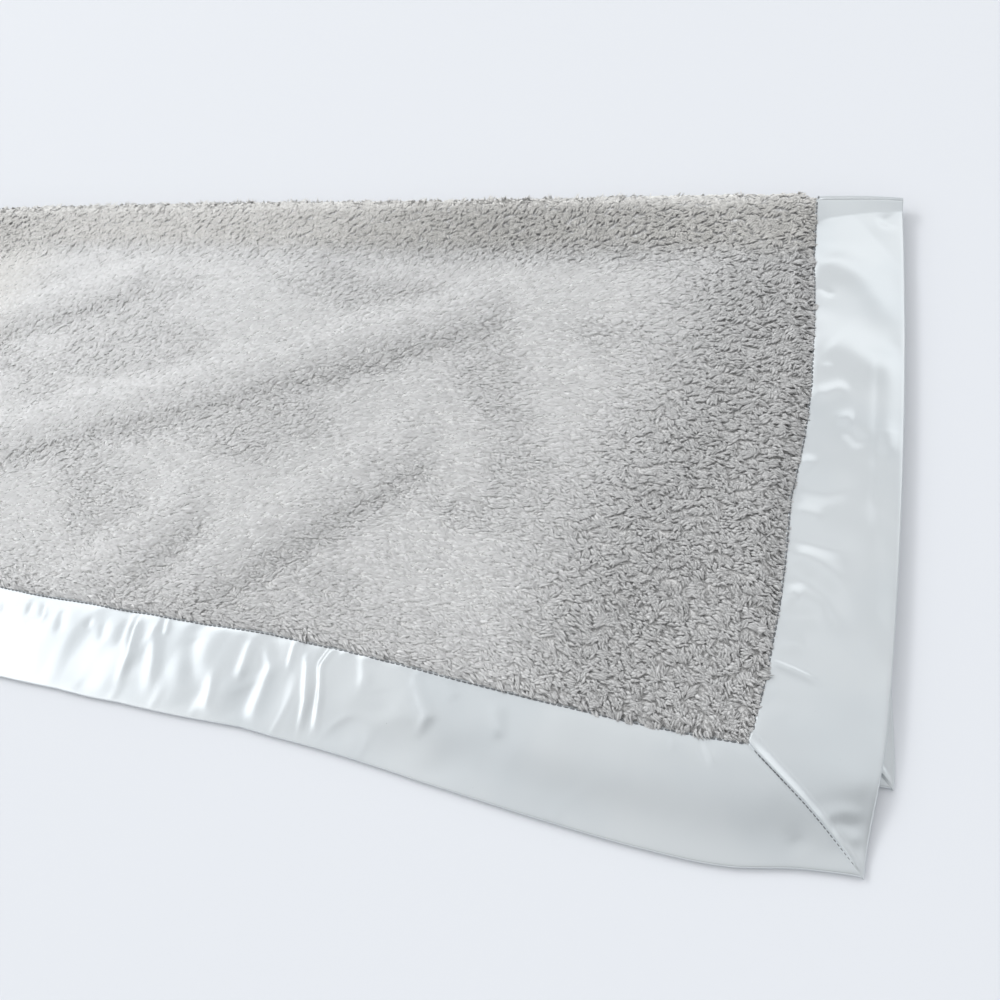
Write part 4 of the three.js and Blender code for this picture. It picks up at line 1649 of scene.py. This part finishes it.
@dataclass(frozen=True)
class SatinStrip:
    """One strip of the binding: a hem, or an end on one leaf or round the fold."""

    leaf: Leaf | None
    end: End | None
    relief: Relief = Relief()
    step: float = 1.3
    top: int = 36
    rim: int = 5
    bottom: int = 9
    corner: float = 90.0
    mitre_gap: float = 0.25
    mitre_lap: float = 0.7
    mitre_roll: float = 1.8
    mitre_rise: float = 0.25
    mitre_falls: Pair = (4.0, 7.5)
    mitre_stations: int = 10
    mitre_step: float = 0.45
    mitre_curve: float = 1.3
    mitre_dip: float = 0.1
    mitre_rim_fade: float = 8.0
    mitre_under_share: float = 0.1
    fold_stations: int = 18

    @property
    def name(self) -> str:
        """The piece's name."""
        return f"{self.end.name.lower() if self.end else 'hem'}_satin_{part_name(self.leaf)}"

    @property
    def node(self) -> str:
        """The CAD node that the piece stands for."""
        return f"binding_{self.end.name.lower() if self.end else 'hem'}_{part_name(self.leaf)}"

    def puckers(self, x: Array, y: Array, inset: Array, upper: Array) -> Array:
        """Give the satin's relief, full on the upper side.

        Args:
            x: Distance from the middle of the length.
            y: Distance back from the upper hem.
            inset: Distance in from the bound edge.
            upper: Whether each place is on the upper side.

        Returns:
            The heights that it adds.
        """
        r = self.relief
        away = LAY.binding - inset
        along = x if self.end is None else y
        gather = r.gather * Waves(r.seed, r.gather_length).at(along + r.gather_shift, r.gather_squash * away)
        gather = gather * np.exp(-away / r.gather_fade)
        swell = r.swell * Waves(r.seed + 1, r.swell_length, r.swell_stretch).at(along + r.lean * inset, inset)
        bent = Waves(r.seed + 2, r.pleat_length, r.pleat_stretch).at(along + r.lean * inset, inset)
        swell = swell * smooth(inset / r.swell_fade) + r.pleat * np.exp(-((bent / r.pleat_sharpness) ** 2))
        if self.end is None:
            start, stop = (smooth((x - place) / fade) for place, fade in zip(r.calm, r.calm_fades))
            swell = swell * (1.0 - start * (1.0 - stop))
        made = gather + swell
        for crease in r.creases:
            made = made + crease.at(LAY.end_inset(x), y)
        edge = smooth(inset / r.rim_fade) * (1.0 - smooth((inset - LAY.binding + r.seam_fade) / r.seam_fade))
        room = PROFILE.thickness(inset) / 2.0 - PROFILE.ply - r.least_room
        return np.maximum(made * edge * np.where(upper, 1.0, r.under_share), -np.maximum(room, 0.0))

    def grid(self) -> Array:
        """Work out the strip's outer surface, stations along by stations round it.

        Returns:
            Points in millimetres in the frame.
        """
        inset, share, upper = PROFILE.around(self.top, self.rim, self.bottom)
        hem = LAY.hem(self.leaf) if self.leaf else 0.0
        mitre = inset + (self.mitre_gap if self.end is None else -self.mitre_lap)
        if self.end is None:
            count = int(LAY.length / self.step) + 1
            run = np.linspace(-LAY.half_length, LAY.half_length, count)
            near = LAY.half_length - self.mitre_step * np.arange(1, self.mitre_stations)
            run = np.unique(np.concatenate([run, near, -near]).round(4))[:, None]
            flat = LAY.half_length - self.corner
            beyond = np.maximum(np.abs(run) - flat, 0.0) / self.corner
            x = np.sign(run) * (np.minimum(np.abs(run), flat) + beyond * (self.corner - mitre))
            y = hem + inset + 0.0 * run
        else:
            count = int((LAY.fold - hem) / self.step) + 1
            run = np.linspace(0.0, LAY.fold - hem, count)
            near = self.mitre_step * np.arange(1, self.mitre_stations)
            run = np.unique(np.concatenate([run, near]).round(4))[:, None]
            held = np.maximum(self.corner - run, 0.0) / self.corner
            y = hem + run + held * mitre
            x = self.end.value * (LAY.half_length - inset) + 0.0 * run
        inset, share, upper = (np.broadcast_to(a, x.shape) for a in (inset, share, upper))
        height = PROFILE.middle(self.leaf, inset, y) + share * PROFILE.thickness(inset) / 2.0
        beside = np.maximum((LAY.end_inset(x) - inset) if self.end is None else (y - hem - inset), 0.0)
        fall = np.clip(1.0 - beside / mix(*self.mitre_falls, inset / LAY.binding), 0.0, 1.0) ** self.mitre_curve
        rolled = (1.0 - np.exp(-beside / self.mitre_rise)) if self.end else -self.mitre_dip * fall
        roll = self.mitre_roll * fall * rolled * smooth(inset / self.mitre_rim_fade)
        height = height + roll * share * np.where(upper, 1.0, self.mitre_under_share)
        points = LAY.place(self.leaf, x, y, height + self.puckers(x, y, inset, upper))
        points[..., 2] = np.maximum(points[..., 2], 0.0)
        return points[::-1] if self.end is End.LEFT else points

    def fold_grid(self) -> Array:
        """Work out the outer surface round the fold.

        Returns:
            Points in millimetres in the frame.
        """
        inset, share, _ = PROFILE.around(self.top, self.rim, self.bottom)
        arc = np.linspace(0.0, 1.0, self.fold_stations)[:, None]
        x = self.end.value * (LAY.half_length - inset) + 0.0 * arc
        inset, share = (np.broadcast_to(a, x.shape) for a in (inset, share))
        height = PROFILE.middle(None, inset, x) + share * PROFILE.thickness(inset) / 2.0
        points = LAY.place_fold(x, np.broadcast_to(arc, x.shape), height)
        return points[::-1] if self.end is End.LEFT else points

    def build(self, finishes: Finishes) -> Piece:
        """Build the strip and dress it.

        Args:
            finishes: The blanket's materials.

        Returns:
            The piece.
        """
        strip = grid_piece(self.name, self.grid() if self.leaf else self.fold_grid())
        thicken(strip, PROFILE.ply)
        dress(strip, finishes.satin)
        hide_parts(self.node)
        return strip

    def flat_size(self) -> tuple[Pair, float | None]:
        """Give the size that the strip was cut to, in metres, and its area where it isn't a rectangle.

        Round the fold the outer ply takes a half turn and the inner ply hardly any, so that part tapers.

        Returns:
            The width and length, and the area or None.
        """
        wide = 2.0 * LAY.binding + PROFILE.rim_radius
        if self.end is None:
            return (wide * MM, LAY.length * MM), None
        if self.leaf is not None:
            return (wide * MM, (LAY.fold - LAY.hem(self.leaf)) * MM), None
        outer, inner = math.pi * (LAY.binding_thickness + LAY.gap / 2.0), math.pi * LAY.gap / 2.0
        return (wide * MM, outer * MM), wide * (outer + inner) / 2.0 * MM * MM


# Stitching


STITCH_END = 0.35


@cache
def model_stitch() -> tuple[Array, Array]:
    """Model one stitch: a short six-sided thread, drawn in at both ends.

    Returns:
        Its points, with z from 0 to 1 along the stitch and a radius of 1, and its triangles.
    """
    deselect()
    bpy.ops.mesh.primitive_cylinder_add(vertices=6, radius=1.0, depth=1.0, location=(0.0, 0.0, 0.5))
    stitch = bpy.context.object
    bpy.ops.object.transform_apply(location=True, rotation=True, scale=True)
    bpy.ops.object.mode_set(mode="EDIT")
    for cut in (0.25, 0.75):
        bpy.ops.mesh.select_all(action="SELECT")
        bpy.ops.mesh.bisect(plane_co=(0.0, 0.0, cut), plane_no=(0.0, 0.0, 1.0))
    bpy.ops.object.mode_set(mode="OBJECT")
    for vertex in stitch.data.vertices:
        if vertex.co.z < 0.1 or vertex.co.z > 0.9:
            vertex.co.x *= STITCH_END
            vertex.co.y *= STITCH_END
    return unit_shape(stitch)


@dataclass(frozen=True)
class Stitching:
    """Rows of stitches along the binding's seam or a mitre."""

    leaf: Leaf | None
    face: Face
    pitch: float = 3.1
    share_of_pitch: float = 0.84
    radius: float = 0.42
    sink: float = -0.1
    seam_inset: float = 49.7
    pressed: float = 0.05
    mitre_start: float = 4.0
    mitre_shift: float = 0.1
    fold_points: tuple[int, int] = (6, 3)

    def seam_paths(self) -> list[Array]:
        """Give the flat lines that the seam follows on this leaf.

        Returns:
            One line along the hem and one up each end.
        """
        hem = LAY.hem(self.leaf)
        reach = LAY.half_length - self.seam_inset
        along = np.arange(-reach, reach, self.pitch)
        back = np.arange(hem + self.seam_inset, LAY.fold, self.pitch)
        paths = [np.stack([along, np.full(len(along), hem + self.seam_inset)], -1)]
        paths += [np.stack([np.full(len(back), side * reach), back], -1) for side in (-1.0, 1.0)]
        return paths

    def seam_height(self) -> float:
        """Give the height of the row above the leaf's underside."""
        half = LAY.binding_thickness / 2.0 - PROFILE.tuck
        return PROFILE.mid + (half - self.sink if faces_up(self.face, self.leaf) else self.sink - half)

    def lay_stitches(self, starts: Array, ends: Array) -> Array:
        """Put a stitch between each pair of points, all in millimetres in the frame.

        Args:
            starts: Where the stitches start.
            ends: Where they end.

        Returns:
            Points, stitches by points of one stitch.
        """
        shape, _ = model_stitch()
        along = (ends - starts) * self.share_of_pitch
        direction = unit(along)
        side = unit(np.cross(direction, np.array([0.0, 0.0, 1.0])))
        up = np.cross(side, direction)
        wide, thick, share = (shape[:, n][None, :, None] for n in range(3))
        spine = starts[:, None] + along[:, None] * share
        made = spine + self.radius * wide * side[:, None] + self.radius * thick * up[:, None]
        made[..., 2] = np.maximum(made[..., 2], self.pressed)
        return made

    def sew(self, name: str, rows: list[Array], finishes: Finishes) -> Piece:
        """Make rows of stitches one piece and dress it."""
        piece = copies_piece(name, np.concatenate(rows), model_stitch()[1], {})
        dress(piece, finishes.thread)
        return piece

    def build_seam(self, finishes: Finishes) -> Piece:
        """Build the seam's stitches on this leaf.

        Args:
            finishes: The blanket's materials.

        Returns:
            The piece.
        """
        rows = []
        for path in self.seam_paths():
            points = LAY.place(self.leaf, path[:, 0], path[:, 1], np.full(len(path), self.seam_height()))
            rows.append(self.lay_stitches(points[:-1], points[1:]))
        piece = self.sew(f"seam_stitches_{self.face.value}_{self.leaf.value}", rows, finishes)
        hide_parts(f"seam_thread_{self.face.value}_{self.leaf.value}")
        return piece

    def build_mitre(self, end: End, finishes: Finishes) -> Piece:
        """Build the stitches of one mitre.

        Args:
            end: Which end the mitre is at.
            finishes: The blanket's materials.

        Returns:
            The piece.
        """
        run = np.arange(self.mitre_start, self.seam_inset - 1.0, self.pitch / 2.0)
        x = end.value * (LAY.half_length - run - self.mitre_shift)
        y = LAY.hem(self.leaf) + run + self.mitre_shift
        share = 1.0 if faces_up(self.face, self.leaf) else -1.0
        half = share * (PROFILE.thickness(run) / 2.0 - self.sink)
        points = LAY.place(self.leaf, x, y, PROFILE.middle(self.leaf, run, y) + half)
        rows = [self.lay_stitches(points[:-1], points[1:])]
        piece = self.sew(f"mitre_stitches_{end.name.lower()}_{self.leaf.value}", rows, finishes)
        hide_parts(f"mitre_thread_{end.name.lower()}_{self.leaf.value}")
        return piece

    def build_fold(self, end: End, finishes: Finishes) -> Piece:
        """Build the seam's stitches round the fold at one end, on both faces.

        Args:
            end: Which end.
            finishes: The blanket's materials.

        Returns:
            The piece.
        """
        rows = []
        x = end.value * (LAY.half_length - self.seam_inset)
        half = LAY.binding_thickness / 2.0 - PROFILE.tuck - self.sink
        for height, count in zip((PROFILE.mid - half, PROFILE.mid + half), self.fold_points):
            arc = np.linspace(0.0, 1.0, count)
            points = LAY.place_fold(np.full(count, x), arc, np.full(count, height))
            rows.append(self.lay_stitches(points[:-1], points[1:]))
        piece = self.sew(f"seam_stitches_{end.name.lower()}_fold", rows, finishes)
        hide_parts(f"seam_thread_{end.name.lower()}_fold")
        return piece



# The blanket


class Blanket:
    """The whole blanket, built leaf by leaf."""

    OUTER_TURN = (1.8, 14.5)
    INNER_TURN = (6.2, 10.1)
    BINDING_TURN = (1.0, 11.8)

    def __init__(self, finishes: Finishes) -> None:
        """Keep the finishes."""
        self.finishes = finishes

    def build_panels(self) -> None:
        """Build the plush panels with their pile."""
        grown = (
            Pile(PlushPanel(Face.OUTER, Leaf.UPPER), seed=101, spacing=1.5, pieces=5),
            Pile(PlushPanel(Face.INNER, Leaf.UPPER), seed=102, spacing=3.7),
            Pile(PlushPanel(Face.OUTER, Leaf.LOWER), seed=103, spacing=4.6),
            Pile(PlushPanel(Face.INNER, Leaf.LOWER), seed=104, spacing=3.7),
            Pile(PlushPanel(Face.OUTER, None), seed=105, spacing=1.5),
            Pile(PlushPanel(Face.INNER, None), seed=106, spacing=3.7),
        )
        for whole in grown:
            plan = whole.panel
            panel, pile = plan.build(self.finishes), whole.build(self.finishes)
            for obj in (panel, *pile):
                settle(obj, plan.leaf)
                log_piece(obj)
            plan.flat_size()

    def build_binding(self) -> None:
        """Build the satin strips."""
        hem = Relief(creases=HEM_CREASES, swell=0.5, swell_length=15.0, pleat=0.15, lean=-0.35, calm=(345.0, 460.0))
        end = Relief(creases=END_CREASES, swell=0.6, swell_length=20.0, seed=41)
        plain = Relief(swell=0.4, seed=51)
        plans = (
            SatinStrip(Leaf.UPPER, None, hem),
            SatinStrip(Leaf.UPPER, End.RIGHT, end),
            SatinStrip(Leaf.UPPER, End.LEFT, end),
            *(SatinStrip(Leaf.LOWER, side, plain, step=3.0, top=18, bottom=12) for side in (None, End.RIGHT, End.LEFT)),
            SatinStrip(None, End.RIGHT),
            SatinStrip(None, End.LEFT),
        )
        for plan in plans:
            strip = plan.build(self.finishes)
            settle(strip, plan.leaf)
            log_piece(strip)
            flat, area = plan.flat_size()

    def build_stitching(self) -> None:
        """Build the stitches of the seams and the mitres."""
        made = []
        for leaf in Leaf:
            for face in Face:
                made.append((Stitching(leaf, face).build_seam(self.finishes), leaf))
            for end in End:
                # The mitre's stitches sit proud, so that their painted shade draws the mitre's dark line.
                mitre = Stitching(leaf, Face.OUTER, radius=0.4, sink=0.0)
                made.append((mitre.build_mitre(end, self.finishes), leaf))
        for end in End:
            made.append((Stitching(None, Face.OUTER).build_fold(end, self.finishes), None))
        for piece, leaf in made:
            settle(piece, leaf)
            log_piece(piece)

    def build(self) -> None:
        """Build everything."""
        self.build_panels()
        self.build_binding()
        self.build_stitching()


# The studio


@dataclass(frozen=True)
class Studio:
    """Pale floor, soft light and the camera."""

    camera_place: Triple = (0.4568, -0.2540, 0.3756)
    yaw: float = -0.6285
    pitch: float = 0.9627
    roll: float = -0.4205
    lens: float = 28.8
    sensor: float = 36.0
    floor_size: float = 14.0
    floor_fade: Pair = (2.5, 6.5)
    floor_colour: Triple = (0.725, 0.742, 0.775)
    floor_roughness: float = 0.7
    band_toward: Triple = (-0.5, 0.87, 0.0)
    band_power: float = 1.4
    left_power: float = 1.0
    front_toward: Triple = (0.35, -0.94, 0.0)
    front_shade: float = 0.95
    lamp_toward: Triple = (-0.70, 0.32, 0.64)
    lamp_distance: float = 7.0
    lamp_size: float = 1.4
    lamp_power: float = 71.0
    fill: float = 0.15
    light_colour: Triple = (0.97, 0.985, 1.0)
    backdrop_colour: Triple = (0.83, 0.87, 0.91)
    sky: Line = (
        (0.0, 0.48), (0.2, 0.62), (0.5, 0.75), (0.7, 0.74), (0.75, 0.55), (0.79, 0.48), (0.82, 0.62), (0.87, 1.04),
        (0.95, 0.98), (1.0, 0.8),
    )
    low: Line = ((0.55, 0.0), (0.78, 0.9), (0.92, 0.8), (0.95, 0.2), (0.97, 0.0))
    band: Line = ((0.4, 0.0), (0.54, 0.8), (0.6, 1.0), (0.68, 0.85), (0.715, 0.45), (0.75, 0.05), (0.8, 0.0))
    window: Line = ((0.4, 0.0), (0.6, 0.8), (0.7, 1.0), (0.78, 0.2), (0.9, 0.0))
    fair: Line = ((0.0, 0.3), (0.5, 0.35), (0.62, 0.25), (0.7, 0.0))

    def build_camera(self) -> None:
        """Set up the camera at the photograph's viewing angle."""
        data = bpy.data.cameras.new("camera")
        data.lens = self.lens
        data.sensor_width = self.sensor
        camera = bpy.data.objects.new("camera", data)
        bpy.context.scene.collection.objects.link(camera)
        level = math.cos(self.pitch)
        forward = Vector((math.sin(self.yaw) * level, math.cos(self.yaw) * level, -math.sin(self.pitch)))
        right = Vector((math.cos(self.yaw), -math.sin(self.yaw), 0.0))
        up = right.cross(forward)
        turned = right * math.cos(self.roll) + up * math.sin(self.roll)
        above = up * math.cos(self.roll) - right * math.sin(self.roll)
        axes = Matrix((turned, above, -forward)).transposed().to_4x4()
        camera.matrix_world = Matrix.Translation(self.camera_place) @ axes
        bpy.context.scene.camera = camera

    def build_floor(self) -> None:
        """Lay the floor."""
        deselect()
        bpy.ops.mesh.primitive_plane_add(size=self.floor_size, location=(0.0, 0.0, 0.0))
        floor = bpy.context.object
        floor.name = "floor"
        material = new_material("floor paint")
        wire = Wiring(material.node_tree)
        paint = wire.tree.nodes["Principled BSDF"]
        wire.fill(paint, {"Base Color": (*self.floor_colour, 1.0), "Roughness": self.floor_roughness})
        place = wire.add("ShaderNodeTexCoord").outputs["Object"]
        far = wire.add("ShaderNodeVectorMath", {0: place}, operation="LENGTH").outputs["Value"]
        clear = wire.add("ShaderNodeBsdfTransparent").outputs[0]
        ends = {0: wire.ramp(far, *self.floor_fade), 1: paint.outputs[0], 2: clear}
        wire.fill(wire.tree.nodes["Material Output"], {0: wire.add("ShaderNodeMixShader", ends).outputs[0]})
        floor.data.materials.append(material)

    def build_lamp(self) -> None:
        """Hang the soft lamp, which lights the cloth without showing in its shine."""
        data = bpy.data.lights.new("window", "AREA")
        data.shape = "DISK"
        data.size = self.lamp_size
        data.energy = self.lamp_power
        lamp = bpy.data.objects.new("window", data)
        bpy.context.scene.collection.objects.link(lamp)
        toward = Vector(self.lamp_toward).normalized()
        lamp.location = toward * self.lamp_distance
        lamp.rotation_mode = "QUATERNION"
        lamp.rotation_quaternion = toward.to_track_quat("Z", "Y")
        lamp.visible_glossy = False

    def build_room(self) -> None:
        """Paint the soft light of the room: a bright band half way up behind and to the left."""
        world = bpy.data.worlds.new("room")
        bpy.context.scene.world = world
        world.use_nodes = True
        world.node_tree.nodes.clear()
        wire = Wiring(world.node_tree)
        place = wire.add("ShaderNodeTexCoord").outputs["Generated"]
        split = wire.add("ShaderNodeSeparateXYZ", {0: place}).outputs
        facing, front = (
            wire.add("ShaderNodeVectorMath", {0: place, 1: toward}, operation="DOT_PRODUCT").outputs["Value"]
            for toward in (self.band_toward, self.front_toward)
        )
        sky, low, band, window, fair = (
            wire.curve(split["Z"], stops) for stops in (self.sky, self.low, self.band, self.window, self.fair)
        )
        near = wire.curve(front, ((0.12, 0.0), (0.3, self.front_shade)))
        side = wire.curve(facing, ((0.0, 0.0), (0.16, 1.0), (0.6, 0.72)))
        left = wire.curve(wire.times(split["X"], -1.0), ((0.35, 0.0), (0.62, self.left_power)))
        shade = wire.math("SUBTRACT", wire.times(near, low), 1.0)
        sky = wire.times(wire.times(shade, -1.0), sky)
        shaped = wire.plus(wire.times(wire.times(band, side), self.band_power), wire.times(fair, near))
        total = wire.plus(wire.plus(sky, shaped), wire.times(window, left))
        path = wire.add("ShaderNodeLightPath").outputs
        dull = wire.math("SUBTRACT", path["Is Glossy Ray"], 1.0)
        strength = wire.plus(total, wire.times(wire.times(dull, -self.fill), total))
        room = wire.add("ShaderNodeBackground", {"Color": (*self.light_colour, 1.0), "Strength": strength})
        backdrop = wire.add("ShaderNodeBackground", {"Color": (*self.backdrop_colour, 1.0)})
        ends = {0: path["Is Camera Ray"], 1: room.outputs[0], 2: backdrop.outputs[0]}
        wire.add("ShaderNodeOutputWorld", {0: wire.add("ShaderNodeMixShader", ends).outputs[0]})

    def build(self) -> None:
        """Build the studio and set the view transform."""
        self.build_floor()
        self.build_lamp()
        self.build_room()
        self.build_camera()
        bpy.context.scene.view_settings.view_transform = "Standard"


def main() -> None:
    """Build the studio and the blanket."""
    logging.basicConfig(level=logging.INFO, format="%(name)s %(message)s")
    Studio().build()
    Blanket(Finishes.build()).build()


if __name__ == "__main__":
    main()
